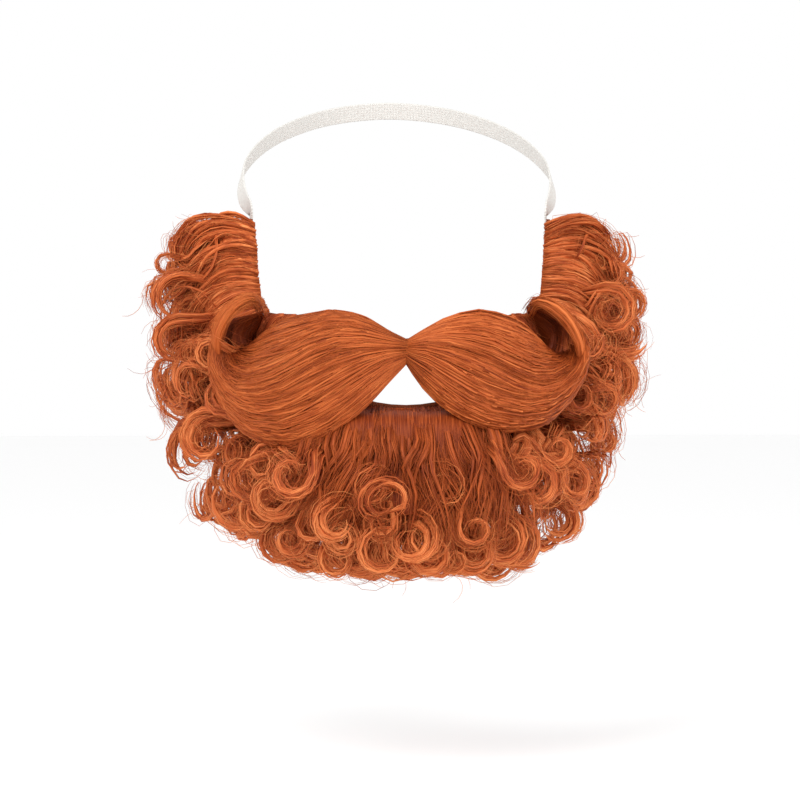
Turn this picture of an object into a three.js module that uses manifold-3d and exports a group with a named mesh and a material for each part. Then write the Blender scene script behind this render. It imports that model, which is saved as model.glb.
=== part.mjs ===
// A full curly false beard with a parted, rolled moustache, held by an elastic band round the head.
//
// Millimetres, +Z up. The face looks along -Y and +X is the wearer's left.
// The origin is on the wearer's skin, at the middle of the upper lip just under the nose.
// The backing is a shell at a set distance from the face. The hair is locks and curls, each a tapered
// tube along a computed path, joined to a bed of dense hair that follows the backing.

import * as THREE from 'three';
import { mergeVertices } from 'three/addons/utils/BufferGeometryUtils.js';
import Module from 'manifold-3d';

const wasm = await Module();
wasm.setup();

// The face that the beard fits
const headHalfWidth = 72; // half the width at the ears
const earDepth = 95; // from the upper lip back to the ears
const chinDrop = 70; // from the nose's base down to the underside of the chin
const faceSquareness = 2.3; // 2 gives an oval in plan, more gives a squarer face

// The fabric backing
const sideburnRise = 60; // top of the sideburns above the nose's base
const skinEase = 2; // the backing's inner face stands this far off the skin
const backingWall = 1.6;
const mouthWidth = 54;
const mouthHeight = 19;
const mouthDrop = 18.5; // from the nose's base down to the mouth's middle

// The hair
const hairBed = 27; // depth of the dense hair on the cheeks
const bedMargin = 1.5; // the dense hair stays this far inside the backing's outline
const hairStand = 30; // how far the filling curls stand off the backing
const beardHalfWidth = 123; // to the middle of the outermost curls' reach
const beardDrop = 114; // from the nose's base down to the lowest curls
const beardFront = 38; // how far the chin's curls reach in front of the upper lip
const curlRadius = 10;
const chinLength = 46; // straight hair under the lip
const chinForward = 19; // how far it comes forwards on its way down
const chinHalfWidth = 6; // half the width of one of its locks
const lipMargin = 2; // it starts this far under the mouth's opening
const lockHalfWidth = 4;
const lockFlatness = 1.25; // a lock is this much deeper than it is wide
const moustacheHalfWidth = 90;
const moustacheHeight = 46; // from the nose's base down to the wings' lowest hair
const moustacheStand = 10; // from the skin to the wings' middle, at the parting
const moustacheSweep = 36; // how far the wings' outer ends lie behind the parting
const moustacheThickness = 20;

// The elastic band
const bandWidth = 9;
const bandThickness = 1;
const bandOverlap = 12; // sewn length behind the top of each sideburn
const bandBack = 188; // from the upper lip to the back of the head
const bandRise = 58; // how much higher the band runs at the back than at the sideburns
const bandRoundShare = 0.9; // where it is sewn, round the face from 0 at the front to 1 at the ear

const gap = 0.3; // clearance between neighbouring pieces

// Half widths are shares of headHalfWidth and fronts are shares of earDepth.
// Levels are shares of sideburnRise above the nose's base and of chinDrop below it.
const FACE = [
  { level: -1.35, halfWidth: 0.38, front: 0.36 },
  { level: -1.1, halfWidth: 0.54, front: 0.17 },
  { level: -0.9, halfWidth: 0.69, front: 0.06 },
  { level: -0.65, halfWidth: 0.8, front: 0.03 },
  { level: -0.35, halfWidth: 0.88, front: 0.02 },
  { level: 0, halfWidth: 0.94, front: 0 },
  { level: 0.5, halfWidth: 0.98, front: 0.02 },
  { level: 1.25, halfWidth: 1, front: 0.06 },
];

// The backing's outline. Round is 0 at the front's middle and 1 at the ear.
const OUTLINE = [
  { round: 0, top: 0.05, bottom: -1.12 },
  { round: 0.2, top: 0.09, bottom: -1.11 },
  { round: 0.45, top: 0.24, bottom: -1.06 },
  { round: 0.66, top: 0.24, bottom: -0.98 },
  { round: 0.76, top: 0.36, bottom: -0.9 },
  { round: 0.82, top: 1, bottom: -0.84 },
  { round: 0.97, top: 0.98, bottom: -0.62 },
];

// The moustache's wings, each as four streams of hair from the parting (step 0) to the roll's end.
// Across is a share of moustacheHalfWidth and up is a share of moustacheHeight. Tuck is how far a step
// lies back, and dive how much further its high stream goes back into the roll's hollow, as shares
// of moustacheThickness.
const RIGHT_WING = [
  { high: [0.004, 0.05], upper: [0.004, 0], lower: [0.004, -0.08], low: [0.004, -0.17], tuck: 0, dive: 0 },
  { high: [0.11, 0.17], upper: [0.13, 0.04], lower: [0.14, -0.15], low: [0.1, -0.4], tuck: 0, dive: 0 },
  { high: [0.22, 0.3], upper: [0.29, 0.07], lower: [0.29, -0.32], low: [0.23, -0.67], tuck: 0, dive: 0 },
  { high: [0.37, 0.36], upper: [0.45, -0.02], lower: [0.46, -0.5], low: [0.4, -0.93], tuck: 0, dive: 0 },
  { high: [0.5, 0.32], upper: [0.59, -0.19], lower: [0.63, -0.63], low: [0.6, -1.07], tuck: 0, dive: 0 },
  { high: [0.61, 0.28], upper: [0.71, -0.3], lower: [0.79, -0.6], low: [0.81, -0.93], tuck: 0, dive: 0.2 },
  { high: [0.69, 0.18], upper: [0.82, -0.33], lower: [0.91, -0.38], low: [0.95, -0.6], tuck: 0.05, dive: 0.6 },
  { high: [0.75, 0.02], upper: [0.88, -0.1], lower: [0.95, -0.05], low: [1, -0.2], tuck: 0.15, dive: 1 },
  { high: [0.8, -0.14], upper: [0.86, 0.13], lower: [0.91, 0.2], low: [0.96, 0.18], tuck: 0.35, dive: 1.1 },
  { high: [0.82, -0.1], upper: [0.74, 0.27], lower: [0.74, 0.31], low: [0.74, 0.34], tuck: 0.7, dive: 1.1 },
];
const LEFT_WING = [
  { high: [0.004, 0.05], upper: [0.004, 0], lower: [0.004, -0.08], low: [0.004, -0.17], tuck: 0, dive: 0 },
  { high: [0.12, 0.2], upper: [0.13, 0.03], lower: [0.13, -0.2], low: [0.09, -0.45], tuck: 0, dive: 0 },
  { high: [0.23, 0.3], upper: [0.26, -0.02], lower: [0.26, -0.37], low: [0.22, -0.68], tuck: 0, dive: 0 },
  { high: [0.37, 0.36], upper: [0.4, -0.12], lower: [0.41, -0.52], low: [0.4, -0.85], tuck: 0, dive: 0 },
  { high: [0.5, 0.31], upper: [0.54, -0.26], lower: [0.59, -0.6], low: [0.59, -0.88], tuck: 0, dive: 0 },
  { high: [0.6, 0.23], upper: [0.65, -0.34], lower: [0.74, -0.53], low: [0.76, -0.77], tuck: 0, dive: 0.2 },
  { high: [0.68, 0.08], upper: [0.78, -0.27], lower: [0.86, -0.3], low: [0.91, -0.42], tuck: 0.05, dive: 0.6 },
  { high: [0.72, -0.1], upper: [0.86, -0.05], lower: [0.9, 0], low: [0.945, -0.08], tuck: 0.15, dive: 1 },
  { high: [0.75, -0.2], upper: [0.82, 0.2], lower: [0.84, 0.24], low: [0.88, 0.24], tuck: 0.35, dive: 1.1 },
  { high: [0.78, -0.16], upper: [0.66, 0.33], lower: [0.66, 0.38], low: [0.66, 0.42], tuck: 0.7, dive: 1.1 },
];

// The curls that show from the front. Round and level give the root on the backing. Across, up and
// deep give the curl's middle, as shares of beardHalfWidth, of sideburnRise or beardDrop, and of
// earDepth or beardFront. Size and wide are shares of curlRadius and lockHalfWidth. Turns is more
// than 0 for a curl that turns anticlockwise as seen from the front.
const SIDEBURN_CURLS = [
  { round: -0.88, level: 0.88, across: -0.79, up: 0.73, deep: 0.78, size: 1.25, turns: 0.62, wide: 0.9 },
  { round: -0.86, level: 0.62, across: -0.92, up: 0.63, deep: 0.72, size: 0.5, turns: 0.85, wide: 0.35 },
  { round: -0.84, level: 0.5, across: -0.91, up: 0.13, deep: 0.65, size: 1.6, turns: 0.12, wide: 0.9 },
  { round: -0.85, level: 0.38, across: -0.97, up: 0.27, deep: 0.72, size: 0.4, turns: 0.8, wide: 0.3 },
  { round: -0.83, level: 0.25, across: -0.92, up: -0.02, deep: 0.6, size: 1.1, turns: 0.45, wide: 0.8 },
  { round: 0.88, level: 0.9, across: 0.7, up: 0.58, deep: 0.8, size: 2.1, turns: -0.32, wide: 1.3 },
  { round: 0.86, level: 0.75, across: 0.83, up: 0.55, deep: 0.72, size: 0.65, turns: -0.9, wide: 0.5 },
  { round: 0.85, level: 0.5, across: 0.91, up: 0.3, deep: 0.72, size: 0.75, turns: -0.6, wide: 0.45 },
  { round: 0.84, level: 0.4, across: 0.82, up: 0.27, deep: 0.56, size: 1.1, turns: -0.95, wide: 0.8 },
];
const BEARD_CURLS = [
  { round: -0.82, level: -0.05, across: -0.81, up: -0.1, deep: 0.6, size: 1.2, turns: 0.4, wide: 0.9 },
  { round: -0.84, level: -0.2, across: -0.81, up: -0.28, deep: 0.66, size: 1.8, turns: 0.4, wide: 0.35 },
  { round: -0.72, level: -0.35, across: -0.74, up: -0.39, deep: 0.45, size: 1.05, turns: 0.95, wide: 0.8 },
  { round: -0.78, level: -0.55, across: -0.61, up: -0.57, deep: 0.48, size: 1.5, turns: 0.3, wide: 0.8 },
  { round: -0.6, level: -0.8, across: -0.54, up: -0.68, deep: 0.3, size: 1, turns: -0.55, wide: 1 },
  { round: -0.5, level: -0.6, across: -0.46, up: -0.54, deep: 0.12, size: 1.1, turns: -0.65, wide: 1 },
  { round: -0.5, level: -1, across: -0.46, up: -0.82, deep: 0.2, size: 0.9, turns: 0.8, wide: 1 },
  { round: -0.3, level: -0.55, across: -0.3, up: -0.5, deep: -0.3, size: 1.6, turns: 0.28, wide: 1 },
  { round: -0.12, level: -0.5, across: -0.03, up: -0.4, deep: -0.6, size: 2, turns: 0.28, wide: 1.2 },
  { round: -0.15, level: -0.8, across: -0.11, up: -0.62, deep: -0.75, size: 0.95, turns: 0.6, wide: 1.1 },
  { round: -0.3, level: -0.9, across: -0.27, up: -0.71, deep: -0.55, size: 0.9, turns: 0.6, wide: 1 },
  { round: -0.15, level: -1.05, across: -0.1, up: -0.83, deep: -0.5, size: 1, turns: 0.85, wide: 0.8 },
  { round: -0.3, level: -1.08, across: -0.26, up: -0.87, deep: -0.3, size: 0.75, turns: 0.8, wide: 0.7 },
  { round: 0.8, level: 0, across: 0.88, up: 0.13, deep: 0.62, size: 1.4, turns: 0.15, wide: 1 },
  { round: 0.82, level: -0.2, across: 0.81, up: -0.17, deep: 0.6, size: 1.5, turns: -0.45, wide: 0.9 },
  { round: 0.8, level: -0.5, across: 0.79, up: -0.42, deep: 0.55, size: 0.5, turns: -0.6, wide: 0.6 },
  { round: 0.66, level: -0.7, across: 0.6, up: -0.59, deep: 0.36, size: 0.85, turns: -0.6, wide: 1 },
  { round: 0.58, level: -0.5, across: 0.56, up: -0.42, deep: 0.22, size: 1.1, turns: 0.5, wide: 1 },
  { round: 0.2, level: -0.6, across: 0.21, up: -0.6, deep: -0.6, size: 1.45, turns: 0.5, wide: 1.2 },
  { round: 0.2, level: -1.05, across: 0.17, up: -0.87, deep: -0.45, size: 0.62, turns: 0.75, wide: 0.5 },
  { round: 0.36, level: -1, across: 0.36, up: -0.8, deep: -0.1, size: 1, turns: -0.7, wide: 1 },
  { round: 0.5, level: -1, across: 0.46, up: -0.82, deep: 0.05, size: 1.2, turns: 0.25, wide: 0.5 },
  { round: 0.62, level: -0.9, across: 0.59, up: -0.74, deep: 0.3, size: 0.9, turns: -0.7, wide: 0.9 },
];

// Rows of filling curls, the same on both sides, which face outwards all round the backing.
// Stand is a share of hairStand, and drop is how far the curl hangs below its root, in curl radii.
const SIDEBURN_ROWS = [
  { count: 2, from: 0.86, to: 0.96, level: 0.74, stand: 0.75, drop: 0.1, size: 1.1, turns: 0.7, wide: 1.2 },
  { count: 2, from: 0.84, to: 0.95, level: 0.34, stand: 1.1, drop: 0.3, size: 1.2, turns: 0.7, wide: 1.2 },
];
const BEARD_ROWS = [
  { count: 3, from: 0.74, to: 0.95, level: -0.1, stand: 1.2, drop: 0.4, size: 1.2, turns: 0.65, wide: 1.4 },
  { count: 3, from: 0.66, to: 0.92, level: -0.45, stand: 1.2, drop: 0.5, size: 1.2, turns: 0.65, wide: 1.4 },
  { count: 3, from: 0.5, to: 0.86, level: -0.75, stand: 1, drop: 0.7, size: 1.2, turns: 0.65, wide: 1.4 },
  { count: 3, from: 0.2, to: 0.7, level: -1.02, stand: 0.75, drop: 0.9, size: 1.1, turns: 0.65, wide: 1.3 },
];
// The dense hair. Hang, below the backing's edge, and depth are shares of hairBed.
const SIDEBURN_BED = [
  { round: 0.735, top: 0.3, bottom: 0.1, hang: 0, depth: 0.2 },
  { round: 0.78, top: 0.45, bottom: 0.1, hang: 0, depth: 0.5 },
  { round: 0.82, top: 0.94, bottom: 0.1, hang: 0, depth: 0.7 },
  { round: 0.89, top: 0.96, bottom: 0.1, hang: 0, depth: 0.8 },
  { round: 0.965, top: 0.94, bottom: 0.1, hang: 0, depth: 0.4 },
];
const BEARD_BED = [
  { round: 0, top: -0.42, bottom: -1.1, hang: 0.55, depth: 0.75 },
  { round: 0.12, top: -0.42, bottom: -1.1, hang: 0.55, depth: 0.75 },
  { round: 0.24, top: -0.42, bottom: -1.08, hang: 0.55, depth: 0.75 },
  { round: 0.36, top: -0.3, bottom: -1.05, hang: 0.5, depth: 0.8 },
  { round: 0.48, top: 0.15, bottom: -1.03, hang: 0.45, depth: 0.9 },
  { round: 0.6, top: 0.2, bottom: -1, hang: 0.4, depth: 1 },
  { round: 0.72, top: 0.2, bottom: -0.93, hang: 0.4, depth: 1.05 },
  { round: 0.84, top: 0.2, bottom: -0.82, hang: 0.4, depth: 1 },
  { round: 0.92, top: 0.2, bottom: -0.7, hang: 0.3, depth: 0.8 },
  { round: 0.965, top: 0.2, bottom: -0.62, hang: 0.2, depth: 0.4 },
];
// Straight combed hair under the lip, as a share of mouthWidth from the middle.
const CHIN_LOCKS = [-0.4, -0.24, -0.08, 0.08, 0.24, 0.4];

// The band's free half, from a sideburn's top to the middle of the back. Across, back and rise are
// shares of headHalfWidth, bandBack and bandRise. Turn is how far its flat side faces forwards.
const BAND = [
  { across: 1.04, back: 0.46, rise: 0.17, turn: 0.35 },
  { across: 1.06, back: 0.52, rise: 0.3, turn: 0.35 },
  { across: 1.03, back: 0.6, rise: 0.46, turn: 0.1 },
  { across: 0.88, back: 0.74, rise: 0.68, turn: 0 },
  { across: 0.64, back: 0.87, rise: 0.85, turn: 0 },
  { across: 0.34, back: 0.97, rise: 0.96, turn: 0 },
  { across: 0, back: 1, rise: 1, turn: 0 },
];

const up = new THREE.Vector3(0, 0, 1);
const lerp = THREE.MathUtils.lerp;
const clamp01 = (value) => THREE.MathUtils.clamp(value, 0, 1);
const smooth = (value) => THREE.MathUtils.smoothstep(value, 0, 1);
const heightAt = (level, drop = chinDrop) => level * (level > 0 ? sideburnRise : drop);

// A column's value at a height, on a smooth curve through the table's rows.
function tableCurve(rows, keyOf, column) {
  const keys = rows.map(keyOf);
  const values = rows.map((row) => row[column]);
  const slope = (i) => {
    const low = Math.max(i - 1, 0);
    const high = Math.min(i + 1, keys.length - 1);
    return (values[high] - values[low]) / (keys[high] - keys[low]);
  };
  return (key) => {
    let i = 0;
    while (i < keys.length - 2 && key > keys[i + 1]) i += 1;
    const width = keys[i + 1] - keys[i];
    const t = clamp01((key - keys[i]) / width);
    const [t2, t3] = [t * t, t * t * t];
    return (2 * t3 - 3 * t2 + 1) * values[i] + (t3 - 2 * t2 + t) * width * slope(i)
      + (3 * t2 - 2 * t3) * values[i + 1] + (t3 - t2) * width * slope(i + 1);
  };
}
const faceHalfWidth = tableCurve(FACE, (row) => heightAt(row.level), 'halfWidth');
const faceFront = tableCurve(FACE, (row) => heightAt(row.level), 'front');

// The outline between two rows of its table, with level tangents at the rows.
function outlineAt(round, column) {
  const place = Math.abs(round);
  let i = 0;
  while (i < OUTLINE.length - 2 && place > OUTLINE[i + 1].round) i += 1;
  const [a, b] = [OUTLINE[i], OUTLINE[i + 1]];
  return heightAt(lerp(a[column], b[column], smooth((place - a.round) / (b.round - a.round))));
}

// The face in plan is a superellipse: 1 on the skin, more outside it.
function faceField(x, y, z) {
  const halfWidth = faceHalfWidth(z) * headHalfWidth;
  const depth = earDepth * (1 - faceFront(z));
  return (Math.abs(x) / halfWidth) ** faceSquareness
    + (Math.abs(earDepth - y) / depth) ** faceSquareness;
}

// The skin's point and outward normal at a place round the face and a height.
function skinAt(round, z) {
  const angle = (Math.abs(round) * Math.PI) / 2;
  const power = 2 / faceSquareness;
  const x = Math.sign(round) * headHalfWidth * faceHalfWidth(z) * Math.sin(angle) ** power;
  const y = earDepth * (1 - (1 - faceFront(z)) * Math.max(Math.cos(angle), 0) ** power);
  const step = 0.5;
  const normal = new THREE.Vector3(
    faceField(x + step, y, z) - faceField(x - step, y, z),
    faceField(x, y + step, z) - faceField(x, y - step, z),
    faceField(x, y, z + step) - faceField(x, y, z - step),
  ).normalize();
  return { point: new THREE.Vector3(x, y, z), normal };
}

function offSkin(round, z, distance) {
  const { point, normal } = skinAt(round, z);
  return point.addScaledVector(normal, distance);
}

// A solid from a closed geometry whose vertices are moved to where placeAt puts them.
function solidFrom(geometry, placeAt = (x, y, z) => new THREE.Vector3(x, y, z)) {
  const bare = geometry.clone();
  bare.deleteAttribute('normal');
  bare.deleteAttribute('uv');
  const { position } = bare.attributes;
  const exact = (value) => Math.round(value * 1e5) / 1e5;
  for (let i = 0; i < position.count; i += 1) {
    const placed = placeAt(exact(position.getX(i)), exact(position.getY(i)), exact(position.getZ(i)));
    position.setXYZ(i, placed.x, placed.y, placed.z);
  }
  const merged = mergeVertices(bare, 1e-4);
  return new wasm.Manifold(new wasm.Mesh({
    numProp: 3,
    vertProperties: new Float32Array(merged.attributes.position.array),
    triVerts: new Uint32Array(merged.index.array),
  }));
}

// A block from 0 to 1 along each axis, divided along its first two.
function unitBlock(columns, rows) {
  return new THREE.BoxGeometry(1, 1, 1, columns, rows, 1).translate(0.5, 0.5, 0.5);
}

function joined(solids) {
  return solids.reduce((whole, solid) => whole.add(solid));
}

// The largest body of a solid, without the crumbs that a cut leaves.
function mainBody(solid) {
  return solid.decompose().reduce((best, body) => (body.volume() > best.volume() ? body : best));
}

function meshFrom(name, solid, material) {
  const { vertProperties, triVerts } = solid.getMesh();
  const geometry = new THREE.BufferGeometry();
  geometry.setAttribute('position', new THREE.BufferAttribute(vertProperties, 3));
  geometry.setIndex(new THREE.BufferAttribute(triVerts, 1));
  const mesh = new THREE.Mesh(geometry, material);
  mesh.name = name;
  return mesh;
}

// A repeatable number from 0 to 1 for an index.
function scatter(index) {
  const value = Math.sin(index * 12.9898 + 4.1) * 43758.5453;
  return value - Math.floor(value);
}

// Distances from the skin where the backing ends and the hair starts
const backingOuter = skinEase + backingWall;
const hairStart = backingOuter + gap;
const rootDepth = hairStart + 1.5; // where a lock's own path starts

// Everything within the backing's inner face, to cut the hair to the face. It runs on behind the ears.
function headCutter() {
  const behindEars = earDepth * 1.6;
  const [lowest, highest] = [FACE[0].level, FACE.at(-1).level].map((level) => heightAt(level));
  return solidFrom(unitBlock(12, 6), (u, v, w) => {
    const height = lerp(lowest, highest, v);
    const skin = offSkin(lerp(-1, 1, u), height, backingOuter - gap).setZ(height);
    return w === 1 ? skin : skin.setY(behindEars);
  });
}

// The mouth's opening, an oval prism through the lips. Grow widens it all round.
function mouthCutter(grow = 0) {
  const oval = new THREE.Shape();
  oval.absellipse(0, -mouthDrop, mouthWidth / 2 + grow, mouthHeight / 2 + grow, 0, 2 * Math.PI);
  const length = 2 * earDepth;
  const prism = new THREE.ExtrudeGeometry(oval, { depth: length, bevelEnabled: false, curveSegments: 12 });
  prism.rotateX(Math.PI / 2).translate(0, length / 2, 0);
  return solidFrom(prism);
}

// Places round the face where the backing's grid has its columns, closer at the sideburn's corner
const GRID_ROUNDS = [0, 0.12, 0.24, 0.36, 0.48, 0.6, 0.68, 0.74, 0.77, 0.795, 0.82, 0.89, 0.97];

// The backing's wall before the mouth is cut. Grow widens it all round.
function backingShell(grow = 0) {
  const rounds = [...GRID_ROUNDS.slice(1).reverse().map((round) => -round), ...GRID_ROUNDS];
  const columns = rounds.length - 1;
  return solidFrom(unitBlock(columns, 5), (u, v, w) => {
    const round = rounds[Math.round(u * columns)];
    const [low, high] = [outlineAt(round, 'bottom') - grow, outlineAt(round, 'top') + grow];
    const sideways = (Math.floor(u) - (u === 0 ? 1 : 0)) * (grow / earDepth);
    return offSkin(round + sideways, lerp(low, high, v), lerp(skinEase - grow, backingOuter + grow, w));
  });
}

// Dense hair on the backing, thin at its edges, which hangs below the backing. It starts within
// the backing's wall, where the hair is cut back later.
function bedSolid(rows, side, grow) {
  const columns = rows.length - 1;
  return solidFrom(unitBlock(columns, 5), (u, v, w) => {
    const place = side > 0 ? u : 1 - u;
    const row = rows[Math.round(place * columns)];
    const sideways = (Math.floor(place) - (place === 0 ? 1 : 0)) * (grow / earDepth);
    const edge = heightAt(row.bottom) + bedMargin;
    const height = lerp(edge - row.hang * hairBed - grow, heightAt(row.top) + grow, v);
    const swell = Math.sqrt(Math.sin(Math.PI * lerp(0.2, 0.94, v)));
    const reach = hairStart + hairBed * row.depth * swell + grow;
    const skinHeight = Math.max(height, edge);
    return offSkin(side * (row.round + sideways), skinHeight, lerp(skinEase, reach, w)).setZ(height);
  });
}

// A tapered tube along a path. Its cross-section's deep direction starts as given at one point of
// the path and is carried along from there without twisting.
function lockSolid({ path, frameFrom, deepWay, halfWidths, halfDepths, sides }, grow) {
  const last = path.length - 1;
  const tangents = path.map((_, i) => (
    path[Math.min(i + 1, last)].clone().sub(path[Math.max(i - 1, 0)]).normalize()
  ));
  const carried = (way, tangent) => way.clone().addScaledVector(tangent, -way.dot(tangent)).normalize();
  const deepWays = [];
  deepWays[frameFrom] = carried(deepWay, tangents[frameFrom]);
  for (let i = frameFrom + 1; i <= last; i += 1) deepWays[i] = carried(deepWays[i - 1], tangents[i]);
  for (let i = frameFrom - 1; i >= 0; i -= 1) deepWays[i] = carried(deepWays[i + 1], tangents[i]);
  const section = new THREE.Shape(Array.from({ length: sides }, (_, s) => {
    const angle = (2 * Math.PI * s) / sides;
    return new THREE.Vector2(Math.cos(angle), Math.sin(angle));
  }));
  const tube = new THREE.ExtrudeGeometry(section, { depth: last, steps: last, bevelEnabled: false });
  return solidFrom(tube, (x, y, z) => {
    const i = Math.round(z);
    const wideWay = new THREE.Vector3().crossVectors(deepWays[i], tangents[i]);
    const overrun = ((i === last ? 1 : 0) - (i === 0 ? 1 : 0)) * grow;
    return path[i].clone()
      .addScaledVector(tangents[i], overrun)
      .addScaledVector(wideWay, x * (halfWidths[i] + grow))
      .addScaledVector(deepWays[i], y * (halfDepths[i] + grow));
  });
}

// A lock's width along its length: full in the middle and tapered to the tip.
const taper = (share) => (0.7 + 0.3 * smooth(share / 0.3)) * (1 - 0.7 * smooth((share - 0.6) / 0.4));

// A lock that leaves the backing, runs to its curl along a Bezier and winds round it.
function curlLock({ root, outward, centre, heading, tilt, radius, turns, spin, halfWidth }) {
  const flatAcross = new THREE.Vector3(Math.cos(heading), Math.sin(heading), 0);
  const facing = new THREE.Vector3(Math.sin(heading), -Math.cos(heading), 0);
  const upright = up.clone().multiplyScalar(Math.cos(tilt)).addScaledVector(facing, Math.sin(tilt));
  const normal = facing.clone().multiplyScalar(Math.cos(tilt)).addScaledVector(up, -Math.sin(tilt));
  const arm = root.clone().sub(centre);
  const bearing = Math.atan2(arm.dot(upright), arm.dot(flatAcross));
  const distance = Math.hypot(arm.dot(upright), arm.dot(flatAcross));
  const startAngle = bearing + spin * Math.acos(Math.min(1, radius / distance));
  const tighten = 0.45; // share of its radius that a curl loses in each turn
  const drift = 0.5; // share of its radius that a curl moves along its axis in each turn
  const curlPoint = (turned) => {
    const angle = startAngle + spin * 2 * Math.PI * turned;
    const reach = radius * (1 - tighten * turned);
    return centre.clone()
      .addScaledVector(flatAcross, Math.cos(angle) * reach)
      .addScaledVector(upright, Math.sin(angle) * reach)
      .addScaledVector(normal, radius * drift * turned);
  };
  const start = curlPoint(0);
  const heads = flatAcross.clone().multiplyScalar(-spin * Math.sin(startAngle))
    .addScaledVector(upright, spin * Math.cos(startAngle));
  const run = start.distanceTo(root);
  const handle = run * 0.4;
  const leaving = root.clone().addScaledVector(outward, handle);
  const arriving = start.clone().addScaledVector(heads, -handle);
  const lead = new THREE.CubicBezierCurve3(root, leaving, arriving, start);
  const leadSteps = 2;
  const stepsInATurn = 6;
  const curlSteps = Math.max(2, Math.round(turns * stepsInATurn));
  const path = lead.getPoints(leadSteps);
  for (let i = 1; i <= curlSteps; i += 1) path.push(curlPoint((turns * i) / curlSteps));
  const halfWidths = path.map((_, i) => halfWidth * taper(i / (path.length - 1)));
  const halfDepths = halfWidths.map((width) => width * lockFlatness);
  return { path, frameFrom: leadSteps, deepWay: normal, halfWidths, halfDepths, sides: 4 };
}

// The curls of a table that show from the front.
function placedCurls(rows) {
  return rows.map((row, i) => {
    const rootHeight = heightAt(row.level);
    const { point, normal } = skinAt(row.round, rootHeight);
    return curlLock({
      root: point.addScaledVector(normal, rootDepth),
      outward: normal,
      centre: new THREE.Vector3(
        row.across * beardHalfWidth,
        row.deep * (row.deep > 0 ? earDepth : beardFront),
        heightAt(row.up, beardDrop),
      ),
      heading: (scatter(i + 50) - 0.5) * 0.6,
      tilt: (scatter(i) - 0.5) * 0.5,
      radius: row.size * curlRadius,
      turns: Math.abs(row.turns),
      spin: Math.sign(row.turns),
      halfWidth: row.wide * lockHalfWidth,
    });
  });
}

// The filling curls of a table, on one side of the face.
function fillingCurls(rows, side, seed) {
  return rows.flatMap((row, rowIndex) => Array.from({ length: row.count }, (_, i) => {
    const number = seed + rowIndex * 20 + i;
    const along = lerp(row.from, row.to, i / Math.max(row.count - 1, 1));
    const height = heightAt(row.level + (scatter(number) - 0.5) * 0.16);
    const { point, normal } = skinAt(side * along, height);
    const radius = row.size * curlRadius * (0.85 + 0.3 * scatter(number + 7));
    const stand = row.stand * hairStand * (0.85 + 0.3 * scatter(number + 11));
    const centre = point.clone().addScaledVector(normal, stand);
    centre.z -= row.drop * curlRadius;
    return curlLock({
      root: point.addScaledVector(normal, rootDepth),
      outward: normal,
      centre,
      heading: side * (along * Math.PI) / 2 + (scatter(number + 3) - 0.5) * 0.9,
      tilt: (scatter(number + 5) - 0.5) * 0.7,
      radius,
      turns: row.turns,
      spin: scatter(number + 13) > 0.5 ? 1 : -1,
      halfWidth: row.wide * lockHalfWidth,
    });
  }));
}

// Combed hair that falls straight from under the lip into the chin's curls.
function chinLocks() {
  const steps = 5;
  const chinFan = 0.25; // share of its distance from the middle that a lock moves outwards on its way down
  const chinFlatness = 0.8;
  return CHIN_LOCKS.map((share) => {
    const x = share * mouthWidth;
    const round = Math.sign(x) * (2 / Math.PI)
      * Math.asin((Math.abs(x) / (headHalfWidth * faceHalfWidth(-mouthDrop))) ** (faceSquareness / 2));
    const root = offSkin(round, -mouthDrop - mouthHeight / 2 - lipMargin, rootDepth);
    const path = Array.from({ length: steps + 1 }, (_, i) => {
      const along = i / steps;
      const forwards = chinForward * Math.sin((Math.PI / 2) * along);
      return new THREE.Vector3(x * (1 + chinFan * along), root.y - forwards, root.z - chinLength * along);
    });
    const halfWidths = path.map((_, i) => chinHalfWidth * (1 - 0.4 * smooth((i / steps - 0.5) / 0.5)));
    const halfDepths = halfWidths.map((width) => width * chinFlatness);
    return { path, frameFrom: 0, deepWay: new THREE.Vector3(0, -1, 0), halfWidths, halfDepths, sides: 5 };
  });
}

// A wing's streams of hair. Side is 1 for the wearer's left wing.
function wingStreams(rows, side, count) {
  const columns = ['high', 'upper', 'lower', 'low'];
  const placeAt = (row, share) => {
    const place = share * (columns.length - 1);
    const i = Math.min(Math.floor(place), columns.length - 2);
    const [a, b] = [row[columns[i]], row[columns[i + 1]]];
    const x = lerp(a[0], b[0], place - i) * moustacheHalfWidth;
    const z = lerp(a[1], b[1], place - i) * moustacheHeight;
    const backwards = row.tuck + row.dive * (1 - share) ** 2;
    const sweep = moustacheSweep * (x / moustacheHalfWidth) ** 2;
    return new THREE.Vector3(side * x, sweep - moustacheStand + backwards * moustacheThickness, z);
  };
  const spreadOf = (row) => columns.slice(1).reduce((sum, _, i) => {
    const [from, to] = [i, i + 1].map((column) => placeAt(row, column / (columns.length - 1)));
    return sum + from.distanceTo(to);
  }, 0);
  return Array.from({ length: count }, (_, s) => {
    const share = (s + 0.5) / count;
    const stations = rows.map((row) => placeAt(row, share));
    const path = new THREE.CatmullRomCurve3(stations).getPoints(9);
    const last = path.length - 1;
    const swell = Math.sqrt(1 - 0.75 * (2 * share - 1) ** 2);
    const halfWidths = path.map((_, i) => {
      const spread = spreadOf(rows[Math.round((i / last) * (rows.length - 1))]) / count;
      return Math.max(0.66 * spread, 2.5) * (1 - 0.35 * smooth((i / last - 0.8) / 0.2));
    });
    const halfDepths = path.map((_, i) => (
      (moustacheThickness / 2) * swell * (0.55 + 0.45 * smooth((3 * i) / last))
    ));
    return { path, frameFrom: 0, deepWay: new THREE.Vector3(0, 1, 0), halfWidths, halfDepths, sides: 5 };
  });
}

function wingSolid(rows, side, grow) {
  return joined(wingStreams(rows, side, 5).map((stream) => lockSolid(stream, grow)));
}

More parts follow.
